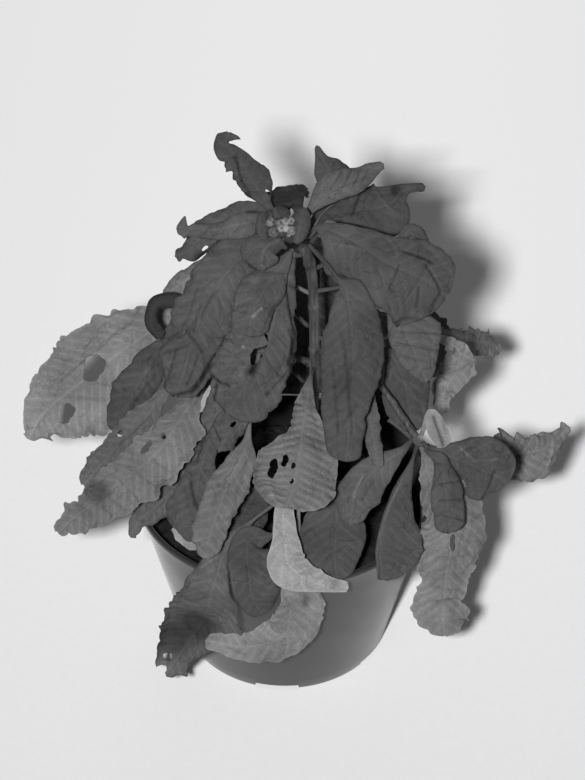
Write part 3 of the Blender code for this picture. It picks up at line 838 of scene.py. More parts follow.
    def _relief(self, grid: dict, phase: float, widest: float,
                rng: np.random.Generator) -> None:
        """Add wave, veins, ruffles and marks, and work out tone, vein and rim."""
        wear = self.wear
        s, d, u, v, half = (grid[key] for key in ("s", "d", "u", "v", "half"))
        blade = grid["blade"]
        share = (s - s[0, 0]) / (s[-1, 0] - s[0, 0])
        turn = 2 * math.pi * (2.5 * share + phase + 0.3 * (v > 0))
        lift = (self.wave * np.sin(turn) * np.abs(v) ** 1.5
                * np.minimum(1.0, 1.3 * half / widest))
        lift = lift + wear.midrib * bell(d, 1.0) * blade
        wobble = 1.2 * wander(rng, s[:, 0], 8.0)[:, None]
        rib = (s - wear.rib_slant * np.abs(d) + wobble) / wear.rib_gap + 0.5 * (v > 0)
        off = rib - np.round(rib)
        fade = smoothstep(0.04, 0.2, np.abs(v)) * (1 - 0.6 * smoothstep(0.8, 1.0, np.abs(v)))
        fade = fade * blade * smoothstep(2.0, 6.0, half)
        lift = lift + wear.pucker * (np.sqrt(np.abs(off) * 2) - 0.6) * fade
        vein = np.maximum(bell(d, 0.55) * blade, bell(off * wear.rib_gap * 0.75, 0.4) * fade)
        weight = 0.6 + 0.4 * wander(np.random.default_rng(len(self.name)), s[:, 0], 6.0)
        band = (0.5 - 2 * np.abs(off)) * fade * weight[:, None]
        near, far = (wander(rng, s[:, 0], wear.ruffle_gap / 2)[:, None] for _ in range(2))
        lift = lift + (wear.ruffle * np.abs(v) ** 3 * np.where(v < 0, near, far)
                       * blade * np.minimum(1.0, half / 5))
        tone = self.tone * (1 + wear.rib_tone * band)
        keep = np.ones((s.shape[0] - 1, s.shape[1] - 1), bool)
        holes = []
        for mark in self.marks:
            if isinstance(mark, Fold):
                a, b = self._spot(grid, mark.start), self._spot(grid, mark.stop)
                run = b - a
                along = ((s - a[0]) * run[0] + (d - a[1]) * run[1]) / max(run @ run, 1e-6)
                along = np.clip(along, 0.0, 1.0)
                off = np.hypot(s - a[0] - along * run[0], d - a[1] - along * run[1])
                line = bell(off, mark.width) * smoothstep(0.0, 0.15, along + 0.02)
                lift = lift + mark.depth * line
                # The fold's tone paints shade along the crease line below 1 and a highlight above
                # 1.
                tone = tone * (1 + (mark.tone - 1) * line)
            elif isinstance(mark, Patch):
                a = self._spot(grid, mark.place)
                soft = bell(np.hypot(s - a[0], d - a[1]), mark.radius)
                lift = lift + mark.dent * soft
                # Patch tones paint shade in dents below 1 and lighten spots above 1.
                tone = tone * (1 + (mark.tone - 1) * np.minimum(1.0, 1.5 * soft))
            elif isinstance(mark, Gap):
                a = self._spot(grid, mark.place)
                angle = np.arctan2(d - a[1], s - a[0])
                wobble = 1 + (0.15 * np.sin(2 * angle + 9 * phase)
                              + 0.1 * np.sin(3 * angle + 5 * phase) + 0.05 * np.sin(7 * angle))
                size = np.hypot((s - a[0]) / mark.along, (d - a[1]) / mark.across) / wobble
                centre = (size[:-1, :-1] + size[1:, :-1] + size[:-1, 1:] + size[1:, 1:]) / 4
                keep &= centre > 1
                holes.append((a, size, centre <= 1))
        normal = self._normals(grid["points"], grid["row_normal"])
        grid["points"] = grid["points"] + normal * lift[:, :, None]
        for a, size, gone in holes:
            row = np.abs(s[:, 0] - a[0]).argmin()
            column = np.abs(d[row] - a[1]).argmin()
            centre = grid["points"][row, column].copy()
            rim = self._touching(gone) & self._touching(~gone)
            push = np.where(rim, 1 / np.maximum(size, 0.3), 1.0)
            grid["points"] = centre + (grid["points"] - centre) * push[:, :, None]
        grid["normal"] = self._normals(grid["points"], grid["row_normal"])
        rim = bell(half * (1 - np.abs(v)), 0.7) * blade
        grid.update(rim=rim, vein=vein, tone=tone, keep=keep)

    @staticmethod
    def _touching(cells: np.ndarray) -> np.ndarray:
        """Return which grid points have one of these cells beside them."""
        wide = np.pad(cells, 1)
        return wide[:-1, :-1] | wide[1:, :-1] | wide[:-1, 1:] | wide[1:, 1:]

    @staticmethod
    def _spot(grid: dict, place: tuple[float, float]) -> np.ndarray:
        """Return (s, d) in mm of a place (u, v)."""
        row = np.abs(grid["u"][:, 0] - place[0]).argmin()
        return np.array([grid["s"][row, 0], np.interp(place[1], grid["v"][row], grid["d"][row])])

    @staticmethod
    def _normals(points: np.ndarray, toward: np.ndarray) -> np.ndarray:
        """Return unit normals of a grid, on the side of the row normals."""
        down = np.gradient(points, axis=0)
        across = np.gradient(points, axis=1)
        normal = unit(np.cross(down, across))
        flip = np.sign((normal * toward).sum(axis=2))
        middle = np.median(flip)
        return normal * (middle if middle else 1.0)

    def build(self, phase: float, tool: GeometryTool, materials: dict) -> bpy.types.Object:
        """Give the sheet its thickness, crumple it and return the finished piece."""
        grid = self.sheet(phase)
        rows, columns = grid["s"].shape
        narrow = np.clip((SHEET_SUM - grid["sums"]) / (SHEET_SUM - STALK_SUM), 0, 1)
        round_off = np.sqrt(np.maximum(1 - grid["v"] ** 2, 0.0))
        thin = SHEET_EDGE + SHEET_CROWN * round_off
        thick = STALK_EDGE + STALK_CROWN * round_off
        rib = MIDRIB_DEPTH * bell(grid["d"], 0.8) * (1 - smoothstep(0.2, 1.0, grid["u"]))
        half = thin * (1 - narrow) + thick * narrow
        top = grid["points"] + grid["normal"] * half[:, :, None]
        back = grid["points"] - grid["normal"] * (half + rib * (1 - narrow))[:, :, None]
        points = np.concatenate([top.reshape(-1, 3), back.reshape(-1, 3)]) * MM
        size = rows * columns
        index = np.arange(size).reshape(rows, columns)
        quads = np.stack([index[:-1, :-1], index[1:, :-1], index[1:, 1:], index[:-1, 1:]],
                         axis=-1)[grid["keep"]]
        edges = np.concatenate([quads[:, [0, 1]], quads[:, [1, 2]], quads[:, [2, 3]],
                                quads[:, [3, 0]]])
        key = np.minimum(edges[:, 0], edges[:, 1]) * size + edges[:, 0] + edges[:, 1]
        _, place, times = np.unique(key, return_inverse=True, return_counts=True)
        rim = edges[times[place.ravel()] == 1]
        walls = np.stack([rim[:, 1], rim[:, 0], rim[:, 0] + size, rim[:, 1] + size], axis=-1)
        faces = np.concatenate([quads, quads[:, ::-1] + size, walls])
        used = np.unique(faces)
        renumber = np.zeros(2 * size, int)
        renumber[used] = np.arange(len(used))
        faces = renumber[faces]
        mesh = make_mesh(points[used], faces.tolist())
        loose = grid["blade"] * (ROOT_LIFT + RIM_LIFT * np.abs(grid["v"]))
        grid["lift"] = grid["normal"] * loose[:, :, None]
        both = {key: np.concatenate([grid[key].reshape(size, -1)] * 2)[used].squeeze()
                for key in ("tone", "vein", "rim", "s", "d", "lift")}
        both["flat"] = np.stack([both["s"] * LENGTH_SQUASH, both["d"], 0 * both["d"]],
                                axis=-1) * MM
        for key in ("tone", "vein", "rim", "lift", "flat"):
            store(mesh, key, both[key])
        layer = mesh.uv_layers.new(name="skin")
        uv = np.stack([both["s"], both["d"]], axis=-1)[faces.ravel()] * MM
        uv = uv + SKIN_START + SKIN_STEP * phase
        layer.data.foreach_set("uv", uv.astype(np.float32).ravel())
        mesh.shade_smooth()
        item = place_object(f"dry_{self.name}", mesh)
        tool.run(item, Seed=phase * SEED_STEP, Broad=self.wear.broad * MM, Fine=self.wear.fine * MM,
                 Crease=self.wear.crease * MM, Material=materials[self.skin],
                 **{"Broad scale": self.wear.broad_scale, "Fine scale": self.wear.fine_scale,
                    "Crease scale": self.wear.crease_scale})
        for key in ("lift", "flat"):
            item.data.attributes.remove(item.data.attributes[key])
        item.data.set_sharp_from_angle(angle=math.radians(60))
        return item


# Fold and Patch tones below 1 paint shade in creases, cracks between leaves and hollows; tones
# above 1 lighten ridges, midribs and spots, partly as painted highlights.
LEAVES = (
    DryLeaf("bract_back_left", Skin.BRACT, 0.071, ((2, 6, 231),), (
        (-7, 10, 240, 2, 2), (-13, 19, 246, 8.5, 6.5), (-20, 29, 252, 6, 6.5),
        (-26, 35, 257, 3.5, 6), (-25, 39, 262, 4, 5.5)), -25, marks=(
        Lobe(0.97, -1, 3.2, 0.9), Lobe(0.9, -1, -2.4, 1.6),
        Fold((0.73, -0.18), (0.44, 0.64), -1.1, 0.6, 0.45),
        Fold((0.44, 0.64), (0.19, 0.91), -0.8, 0.6, 0.6), Gap((0.13, -0.64), 1.7, 0.9),
        Lobe(0.73, 1, -1.6, 1), Lobe(0.62, 1, 1.2, 0.8), Lobe(0.57, 1, -1.4, 1),
        Lobe(0.51, 1, 1, 0.8))),
    DryLeaf("bract_left", Skin.BRACT, 0.089, ((-2, 0, 230),), (
        (-12, -2, 238, 4.5, 6), (-20, -3, 237, 4.5, 6.5), (-33, -2, 234, 2.5, 4),
        (-47, 1, 234, 2.5, 3.5)), -20, wave=0.6, marks=(
        Lobe(0.93, -1, 2.2, 1.1), Lobe(0.86, -1, -1.6, 1.4),
        Fold((0.1, -0.88), (0.02, -1), -0.9, 0.7, 0.45),
        Fold((0.64, 0), (0.08, 0), 0.4, 0.6, 1.15), Lobe(0.91, -1, 1.4, 1),
        Lobe(0.89, 1, 1.4, 1))),
    DryLeaf("bract_left_under", Skin.BRACT, 0.073, ((-2, 4, 229),), (
        (-10, 12, 237, 2, 2), (-23, 15, 233, 5.5, 6.5), (-35, 13, 225, 6.5, 7),
        (-43, 11, 217, 4, 5.5), (-49.5, 11, 213.5, 3, 3)), -25, CREASED, marks=(
        Lobe(0.38, 1, 3.2, 7), Lobe(0.93, 1, -2.2, 1.6), Gap((0.73, 0.67), 1.8, 0.9),
        Fold((0.87, 1), (0.61, 1), -0.6, 0.7, 0.6), Patch((0.81, 1), 3, 0.4, -0.5))),
    DryLeaf("bract_front_left", Skin.BRACT, 0.072, ((-1, -1, 226),), (
        (-10, -1, 227, 4.5, 5.5), (-24, -9, 218, 11.5, 11.5), (-37, -22, 200, 13, 14),
        (-44, -33, 181, 10.5, 12.5), (-48, -37, 170, 4.5, 6)), -28, CREASED, curl=(25, 20), marks=(
        Lobe(0.15, -1, 4, 7), Fold((0.58, 1), (0.71, 1), -1.2, 0.9, 0.2),
        Fold((0.71, 1), (0.83, 0.74), -1.2, 0.9, 0.2),
        Fold((0.83, 0.74), (0.94, 0.68), -1, 0.7, 0.25), Fold((0.94, 0.68), (1, -1), -1, 0.7, 0.3),
        Fold((0.45, -0.21), (0.63, -0.05), -0.6, 0.5, 0.62),
        Fold((0.62, -0.37), (0.72, 0.47), -0.6, 0.5, 0.6),
        Fold((0.65, -0.58), (0.77, -1), -0.7, 0.5, 0.6),
        Fold((0.72, -0.47), (0.98, -1), -0.6, 0.5, 0.65),
        Fold((0.7, -0.05), (0.79, -0.89), -0.6, 0.5, 0.6),
        Fold((0.35, 0), (0.54, 0), -0.4, 0.5, 0.7),
        Fold((0.72, 0.37), (0.92, 0.32), -0.5, 0.5, 0.7), Lobe(0.98, -1, 1.2, 1.2),
        Lobe(1, 1, -1.5, 1.2), Lobe(0.97, 1, 1.2, 1))),
    DryLeaf("bract_small_oval", Skin.BRACT, 0.077, ((0, -8, 229),), (
        (-1.5, -10.5, 231.5, 3, 3), (-7, -14, 232, 8, 6.5), (-10, -17, 228, 9.5, 7.5),
        (-11, -19, 223, 2, 2)), -22, marks=(
        Fold((0.83, -1), (1, 1), -0.8, 0.6, 0.5),
        Fold((0.91, 0.38), (0.04, -0.46), 0.5, 0.6, 1.3))),
    DryLeaf("bract_ribbed", Skin.BRACT, 0.078, ((3, -6, 225),), (
        (0, -11, 223, 3.5, 3.5), (-7, -19, 216, 10.5, 8.5), (-13, -27, 208, 10.5, 8.5),
        (-15, -32, 198, 6.5, 7.5)), -30, marks=(
        Fold((0.65, -1), (0.56, -0.53), 0.4, 0.4, 1.4),
        Fold((0.71, -1), (0.58, -0.33), 0.4, 0.4, 1.35),
        Fold((0.79, -1), (0.67, -0.2), 0.4, 0.4, 1.35),
        Fold((0.85, -0.8), (0.73, 0.27), 0.4, 0.4, 1.3),
        Fold((0.79, 0), (0.62, 0.33), 0.5, 0.35, 2.6), Patch((0.35, -0.6), 2.4, 1.35, 0.6),
        Fold((0.92, 0.8), (0.42, 0.93), -0.5, 0.5, 0.7),
        Fold((0.25, -0.6), (0.08, 1), -0.4, 0.4, 0.7))),
    DryLeaf("bract_cupped", Skin.BRACT, 0.073, ((6, -3, 222),), (
        (3, -5, 223, 2.5, 2.5), (-2, -18, 208, 14, 7.5), (-8, -31, 191, 17.5, 13),
        (-17, -39, 177, 17, 16.5), (-25, -43, 165, 10.5, 12)), -24, CREASED, curl=(35, 25), marks=(
        Fold((0.11, -0.08), (0.26, 0.48), -1, 0.6, 0.25),
        Fold((0.26, 0.48), (0.44, 0.92), -1, 0.6, 0.25),
        Fold((0.44, 0.92), (0.59, 0.88), -1, 0.6, 0.3),
        Fold((0.55, -0.12), (0.72, -0.04), -1.5, 1.3, 0.12), Gap((0.59, -0.12), 7.5, 2.4),
        Gap((0.79, -0.52), 2.4, 1.7), Fold((0.86, -1), (0.87, -0.76), -0.8, 0.6, 0.25),
        Fold((0.87, -0.76), (0.86, -0.36), -0.7, 0.5, 0.3),
        Fold((0.88, -0.8), (0.98, -1), -0.9, 0.6, 0.25), Patch((0.92, -1), 3.6, 1.45, 0.8),
        Fold((0.45, 0.84), (0.59, 0.96), -0.8, 0.5, 0.35),
        Fold((0.48, 1), (0.67, 1), -0.8, 0.5, 0.35), Fold((0.58, 1), (0.79, 0.6), -0.6, 0.5, 0.5),
        Fold((0.45, 0), (0.51, 0.68), -0.4, 0.4, 0.65),
        Fold((0.6, 0.04), (0.66, 0.72), -0.4, 0.4, 0.65), Patch((0.77, -0.24), 2.2, 1.35, 0.4),
        Patch((0.61, -0.52), 0.6, 3, 0.2), Fold((0.4, 0.64), (0.49, 0.92), -0.5, 0.4, 0.6),
        Lobe(0.87, 1, -1, 1.5), Lobe(0.99, 1, 1, 1.2))),
    DryLeaf("bract_front_right", Skin.BRACT, 0.063, (), (
        (11, -3, 227, 1, 1), (19, -12, 222, 1, 1), (24.5, -18.2, 217.5, 1.3, 1.6),
        (27, -21, 215, 4.5, 8), (30, -35, 193, 14.5, 14.5), (29, -49, 174, 13, 8.5),
        (27, -61, 152, 8, 6)), -26, marks=(
        Fold((0.41, -0.47), (0.88, 0.21), -0.6, 0.6, 0.75),
        Fold((0.57, -0.68), (0.87, -0.42), -0.5, 0.5, 0.75),
        Fold((0.63, 0), (0.73, -0.47), -0.5, 0.5, 0.72),
        Fold((0.75, 0.37), (0.84, -0.21), -0.5, 0.5, 0.75),
        Fold((0.52, 0.37), (0.6, -0.11), -0.5, 0.5, 0.75), Patch((0.65, -0.21), 5, 0.85, -0.6),
        Lobe(1, -1, 1.2, 1.5), Lobe(0.81, 1, -1.4, 2))),
    DryLeaf("bract_strip", Skin.PALE, 0.085, ((17, -2, 178), (28, -16, 179)), (
        (37, -30, 171, 2, 2), (38, -39, 164, 3.5, 3.5), (40, -47, 153, 4.5, 4.5),
        (42, -51, 141, 2.5, 2.5)), -35, CRISP),
    DryLeaf("bract_right_up", Skin.BRACT, 0.098, ((7, 5, 231),), (
        (12, 6, 240, 2, 2), (21, 10, 247, 5.5, 8), (32, 14, 251, 6, 6), (44, 22, 254, 1.5, 1.5)),
        -18, marks=(
        Fold((0.28, 0), (0.49, 0.73), -0.4, 0.4, 0.6),
        Fold((0.4, -0.36), (0.63, 0.82), -0.4, 0.4, 0.6),
        Fold((0.51, -0.55), (0.75, 0.73), -0.4, 0.4, 0.6),
        Fold((0.63, -0.55), (0.81, 0.27), -0.4, 0.4, 0.65),
        Fold((0.07, -0.09), (0.79, -0.73), 0.4, 0.4, 1.25), Lobe(1, -1, 1.4, 0.9))),
    DryLeaf("bract_back_dark", Skin.BRACT, 0.072, ((10, 6, 228),), (
        (17, 24, 233, 2.5, 2.5), (23, 33, 239, 8, 8.5), (20, 40, 244, 9, 7), (17, 46, 247, 3, 3),
        (15, 51, 250, 1, 1)), -20),
    DryLeaf("bract_right_back", Skin.BRACT, 0.059, ((13, 4, 226),), (
        (19, 17, 231, 2, 2), (33, 21, 232, 10, 8), (47, 26, 232, 14.5, 12), (55, 33, 236, 3, 3.5),
        (65, 37, 236, 2, 2)), -20, marks=(
        Fold((0.07, -1), (0.34, -0.74), -1, 0.9, 0.2), Fold((0.34, -0.74), (0.56, -1), -1, 1, 0.2),
        Fold((0.54, 0.42), (0.6, -0.47), 0.4, 0.5, 1.3),
        Fold((0.35, 0.84), (0.23, -0.21), -0.7, 0.6, 0.4), Patch((0.74, 0.47), 2.2, 0.4, -0.6))),
    DryLeaf("bract_right_curl", Skin.BRACT, 0.062, ((16, 3, 213), (34, 5, 222)), (
        (51, 3, 225, 2, 1.5), (55, 5, 230, 3, 2.5), (60, 5, 229, 3, 2.5), (64, 4, 223, 2, 2)),
        -30),
    DryLeaf("bract_right", Skin.BRACT, 0.068, ((12, 1, 230),), (
        (15, 0, 234, 1.5, 1.5), (27, -5, 232, 7, 6), (45, -14, 224, 15.5, 13),
        (60, -17, 218, 17.5, 16.5), (71, -18, 210, 12, 15)), -26, curl=(25, 15), marks=(
        Lobe(0.2, -1, 11, 8), Lobe(0.5, -1, 3, 9), Lobe(0.82, -1, 7, 9),
        Fold((0.58, 0.54), (0.8, 0.54), -0.8, 0.6, 0.4),
        Fold((0.12, -0.46), (0.35, -0.04), 0.4, 0.5, 1.3),
        Fold((0.53, -1), (0.33, -0.75), -0.4, 0.5, 0.75),
        Fold((0.61, -0.67), (0.61, 0.12), -0.5, 0.5, 0.7),
        Fold((0.79, -0.12), (0.87, -0.54), -0.6, 0.4, 0.5),
        Fold((0.75, 0.42), (0.95, 0), -0.8, 0.6, 0.5),
        Fold((0.95, 0), (0.96, -1), -0.8, 0.6, 0.45),
        Fold((0.58, -1), (0.74, -1), -0.6, 0.6, 0.55),
        Fold((0.74, -1), (0.94, -1), -0.6, 0.6, 0.6),
        Fold((0.74, -0.62), (0.79, 0.5), -0.4, 0.4, 0.75), Lobe(0.95, 1, 1.2, 1.2),
        Lobe(1, -1, -1, 1.2), Lobe(0.99, -1, 1, 1))),
    DryLeaf("bract_right_low", Skin.BRACT, 0.085, ((17, -1, 203), (30, -7, 208)), (
        (48, -15, 204, 4.5, 5.5), (54, -25, 194, 8, 16), (59, -32, 185, 7, 10.5),
        (63, -35, 176, 2, 2.5)), -22, marks=(
        Fold((0.3, -0.71), (0.54, 0.95), -0.4, 0.5, 0.7),
        Fold((0.4, -0.86), (0.72, 1), -0.4, 0.5, 0.7),
        Fold((0.58, -0.81), (0.86, 1), -0.4, 0.5, 0.7))),
    DryLeaf("leaf_dark_oval", Skin.DARK, 0.053, ((37, -9, 176),), (
        (48, -5, 172, 2.5, 2.5), (55, -12, 162, 10, 11), (58, -19, 150, 11, 9.5),
        (60, -25, 141, 3, 3)), -20, marks=(
        Fold((0.21, -0.6), (0.77, 0.87), 0.4, 0.5, 1.25),)),
    DryLeaf("leaf_petal_pair", Skin.PALE, 0.207, ((63, -33, 147),), (
        (66, -33, 158, 2, 2), (69, -38, 153, 5, 4.5), (72, -42, 145, 2.5, 3.5)), -15, marks=(
        Fold((0.1, 0), (0.95, 0.1), -1, 0.7, 0.35),)),
    DryLeaf("leaf_light_right", Skin.PALE, 0.194, ((35, -7, 177), (56, 6, 176)), (
        (84, 21, 158, 3, 4), (86, 27, 141, 9, 9), (81, 30, 125, 6, 5), (82, 32, 110, 2.5, 3)), -20,
        CREASED, marks=(
        Patch((0, -1), 2.5, 0.6, -0.4), Fold((0.49, -0.58), (0.26, 0.75), -0.5, 0.5, 0.7),
        Lobe(0.28, 1, 2, 1.2), Lobe(0.38, 1, 1.6, 1))),
    DryLeaf("leaf_far_right_back", Skin.DARK, 0.114, ((37, 44, 166), (60, 48, 158)), (
        (85, 54, 145, 3, 3), (97, 69, 132, 7, 6), (111, 85, 119, 6.5, 6), (121, 95, 108, 2, 2.5)),
        -20, CRISP, marks=(
        Lobe(0.42, 1, 2.4, 1.3), Lobe(0.74, 1, 2.6, 1.3), Lobe(0.58, 1, -1.5, 1.2),
        Lobe(0.81, -1, 2, 1.2), Patch((0.45, 0.09), 4, 0.6, 0))),
    DryLeaf("leaf_right_smooth", Skin.DARK, 0.069, ((64, -37, 143),), (
        (66, -38, 141, 1.5, 1.5), (77, -39, 137, 7.5, 8), (89, -40, 132, 15, 15.5),
        (99, -40, 126, 12, 13), (103, -40, 122, 4.5, 4.5)), -24, curl=(0, 20), marks=(
        Fold((0.29, 0.7), (0.53, 0.15), 0.5, 0.45, 1.7),
        Fold((0.53, 0.15), (0.81, 0.6), 0.3, 0.45, 1.3),
        Fold((0.78, 0.25), (0.84, -1), -0.8, 0.6, 0.45),
        Fold((0.37, -0.45), (0.57, -0.75), -0.4, 0.5, 0.7))),
    DryLeaf("leaf_right_spiky", Skin.DARK, 0.137, ((65, -32, 139), (90, -18, 120)), (
        (108, 2, 106, 12.5, 11.5), (118, 6, 104, 13.5, 9), (128, 9, 104, 14, 8),
        (136, 14, 105, 6.5, 7), (146, 23, 108, 1.5, 1.5)), -20, CRISP, marks=(
        Lobe(0.06, 1, 3.4, 1.6), Lobe(0.28, 1, 3.2, 1.5), Lobe(0.22, 1, -2, 1.2),
        Lobe(0.96, 1, 3, 1.5), Fold((0.44, -1), (0.75, 0.45), 0.6, 0.8, 1.25),
        Patch((0.24, 0), 4, 0.4, -1))),
    DryLeaf("leaf_long_pale", Skin.PALE, 0.147, ((63, -37, 140),), (
        (64, -38, 138, 1.5, 1.5), (67, -44, 127, 5.5, 14), (77, -53, 105, 14, 16.5),
        (75, -64, 84, 13, 11), (74, -73, 68, 12, 11), (75, -76, 60, 4.5, 5.5)), -26, CRISP,
        curl=(30, 40), marks=(
        Gap((0.5, 0.04), 3.6, 1.3), Fold((0.82, -0.46), (0.79, 0.67), -0.8, 0.6, 0.7),
        Fold((0.73, -0.67), (0.75, 0.83), -0.6, 0.6, 0.8),
        Fold((0.6, -0.29), (0.55, 0.62), -0.6, 0.6, 0.8),
        Fold((0.68, -0.5), (0.62, 0.08), -0.6, 0.6, 0.8),
        Fold((0.41, 0.58), (0.4, 1), -0.6, 0.5, 0.75), Patch((0.88, 0.08), 4, 1.15, 1),
        Lobe(0.86, -1, 1.6, 1.5), Lobe(0.95, -1, -1.5, 1.3), Lobe(0.8, 1, -2, 1.5),
        Lobe(0.91, 1, 1.6, 1.6), Lobe(0.31, -1, -2, 2))),
    DryLeaf("leaf_inner_ribbed", Skin.DARK, 0.069, ((65, -41, 142),), (
        (70, -45, 139, 2.5, 4.5), (73, -55, 128, 7, 8), (75, -63, 113, 6.5, 6.5)), -16, marks=(
        Fold((0.31, -0.6), (0.31, 1), -0.5, 0.5, 0.6),
        Fold((0.52, -0.6), (0.57, 0.8), -0.5, 0.5, 0.6),
        Fold((0.74, -0.6), (0.86, 0.9), -0.5, 0.5, 0.6))),
    DryLeaf("leaf_folded_dark", Skin.DARK, 0.061, ((60, -39, 142),), (
        (58, -44, 139, 1, 1), (50, -51, 125, 1.5, 9), (44, -61, 104, 2, 20),
        (45, -68, 88, 2, 16.5)), -30, curl=(0, 30), marks=(
        Fold((0.18, 0.11), (0.51, -0.37), 0.5, 0.7, 1.55),
        Fold((0.51, -0.37), (0.95, -0.81), 0.5, 0.7, 1.5))),
    DryLeaf("leaf_mid", Skin.DARK, 0.078, ((57, -38, 145),), (
        (53, -43, 144, 2, 2.5), (41, -49, 138, 6.5, 9), (32, -55, 127, 9, 11),
        (30, -59, 114, 3.5, 5.5)), -26, marks=(
        Fold((0.44, -0.27), (0.72, -0.07), 0.5, 0.6, 1.6),
        Fold((0.41, 0.33), (0.69, 0.33), -0.4, 0.5, 0.75))),
    DryLeaf("leaf_dark_hidden", Skin.DARK, 0.06, ((8, -36, 118),), (
        (23, -41, 121, 4.5, 4.5), (24, -52, 110, 15.5, 13), (23, -65, 101, 16.5, 12),
        (24, -74, 94, 6.5, 6.5)), -14, marks=(
        Fold((0.79, -0.29), (0.62, 0.33), -0.5, 0.6, 0.8), Patch((0.79, 0.21), 4, 1.15, 0.5))),
    DryLeaf("leaf_shell", Skin.PALE, 0.136, ((14, -3, 162), (12, -20, 169)), (
        (10, -37, 165, 5, 4), (8, -48, 158, 6.5, 12), (7, -56, 153, 18, 18.5),
        (4, -66, 141, 19, 18.5), (1, -66, 130, 10, 9)), -50, SCALLOPED, curl=(75, 50), marks=(
        Gap((0.64, -0.52), 4.4, 2.2), Gap((0.55, -0.3), 2.4, 1.6), Gap((0.58, -0.09), 1.3, 0.9),
        Gap((0.71, -0.06), 1.2, 0.8), Patch((0.34, 0.45), 4.2, 0.72, -0.6))),
    DryLeaf("leaf_pale_curve", Skin.PALE, 0.269, ((4, -40, 119),), (
        (0, -55, 122, 3.5, 4.5), (0, -65, 112, 5.5, 6.5), (3, -76, 104, 10, 8),
        (16, -81, 98, 3.5, 5.5), (29, -80, 95, 2, 2.5)), -14, SOFT, marks=(
        Patch((0.89, 0.31), 2, 0.8, -0.6), Lobe(0.53, 1, -0.8, 1.2), Lobe(0.73, 1, 0.8, 1))),
    DryLeaf("leaf_low_smooth", Skin.DARK, 0.066, ((2.5, -39.5, 111), (-5, -54, 104)), (
        (-16, -59, 104, 7.5, 9), (-16, -75, 98, 9, 11.5), (-14, -79, 87, 7.5, 12),
        (-10, -78, 76, 3.5, 6.5)), -10, marks=(
        Fold((0.24, -0.88), (0.68, -1), 0.4, 0.6, 1.3), Patch((0.31, 0.19), 4, 0.9, -0.6))),
    DryLeaf("leaf_shadowed", Skin.DARK, 0.05, ((0.5, -37, 118),), (
        (-9, -39, 118, 3.5, 3.5), (-17, -43, 105, 10.5, 9.5), (-23, -48, 92, 5.5, 5.5)), -20),
    DryLeaf("leaf_striped", Skin.DARK, 0.129, ((-12, -9, 172), (-15, -28, 165)), (
        (-17, -44, 148, 2, 2), (-24, -53, 136, 8, 7), (-30, -60, 122, 9, 7),
        (-35, -65, 107, 7.5, 6.5), (-37, -66, 100, 2.5, 2.5)), -26, CREASED, curl=(30, 30), marks=(
        Lobe(0.08, 1, 3, 5), Lobe(0.08, -1, 2, 5), Lobe(0.3, 1, 2.6, 9),
        Fold((0.15, 0.5), (0.6, 1), -0.5, 0.6, 0.8),
        Fold((0.32, -0.42), (0.26, 0.58), -0.3, 0.4, 0.85),
        Fold((0.44, -0.25), (0.36, 0.75), -0.3, 0.4, 0.85))),
    DryLeaf("leaf_left_inner", Skin.DARK, 0.063, ((-21, -11, 168), (-26, -28, 158)), (
        (-33, -33, 145, 3.5, 3.5), (-39, -41, 129, 6.5, 7.5), (-41, -49, 113, 6.5, 7.5),
        (-41, -54, 99, 3.5, 3.5)), -20, CREASED, curl=(30, 30), marks=(
        Lobe(0.72, -1, 8, 10), Fold((0.43, -0.5), (0.65, 0), -0.9, 0.7, 0.45),
        Gap((0.82, 0.6), 2, 1.4), Fold((0.65, 0), (0.8, 0.6), -0.9, 0.6, 0.5))),
    DryLeaf("leaf_left_dark", Skin.DARK, 0.08, ((-43, -21, 146),), (
        (-42, -29, 127, 3, 3), (-52, -36, 116, 10.5, 8.5), (-62, -39, 106, 6.5, 7.5),
        (-69, -40, 100, 4.5, 4.5), (-73, -43, 92, 1.5, 1.5)), -22, CRISP, marks=(
        Fold((0.17, -0.07), (0.43, 1), -0.7, 0.6, 0.6), Lobe(1, 1, 4, 0.9))),
    DryLeaf("leaf_left_gap", Skin.DARK, 0.08, ((-31, -16, 163),), (
        (-31, -21, 161, 3, 3), (-31, -26, 148, 8, 7), (-32, -32, 134, 4, 4)), -18, CREASED, marks=(
        Fold((1, -1), (1, -1), -1.2, 0.8, 0.2),)),
    DryLeaf("leaf_rim_bit", Skin.PALE, 0.23, (), (
        (-53, -41, 96, 1.5, 2), (-46, -46, 93, 3.5, 3), (-38, -54, 95, 1.5, 2)), -10, CRISP),
    DryLeaf("leaf_low_pale", Skin.PALE, 0.167, ((6.5, -38.5, 112.5), (6, -60, 99)), (
        (0, -77, 93, 1, 1), (3, -80, 84, 5.5, 15.5), (-1, -80, 64, 10, 11), (-18, -81, 58, 6.5, 7),
        (-37, -78, 59, 3, 3.5)), -12, CREASED, marks=(
        Patch((0.14, 0.48), 1.8, 0.5, -0.8), Fold((0.75, -0.52), (0.45, 0.19), -0.5, 0.8, 0.85),
        Fold((0.87, 0.05), (0.72, 0.57), -0.5, 0.6, 0.85))),
    DryLeaf("leaf_low_left", Skin.DARK, 0.093,
            ((1, -38.5, 115.5), (-6, -46, 114), (-15, -51, 109)), (
        (-27, -57, 97, 5.5, 3.5), (-32, -75.5, 91.5, 13, 7.5), (-37, -71, 69, 17.5, 19.5),
        (-46, -69, 48, 15.5, 10), (-58, -72, 29, 6, 3.5)), -10, CURLED, curl=(50, 50), marks=(
        # The first two patches paint the shade inside the leaf's curl, with dents.
        Patch((0.63, -0.04), 10, 0.35, -4), Patch((0.8, -0.56), 9, 0.4, -3),
        Gap((0.91, -0.41), 2.4, 1.8), Gap((0.98, -0.48), 2.6, 2), Lobe(0.92, 1, 4, 1.4),
        Lobe(0.74, -1, 1.2, 1), Lobe(0.84, -1, -1, 1), Patch((0.08, -0.33), 5, 1.25, 1))),
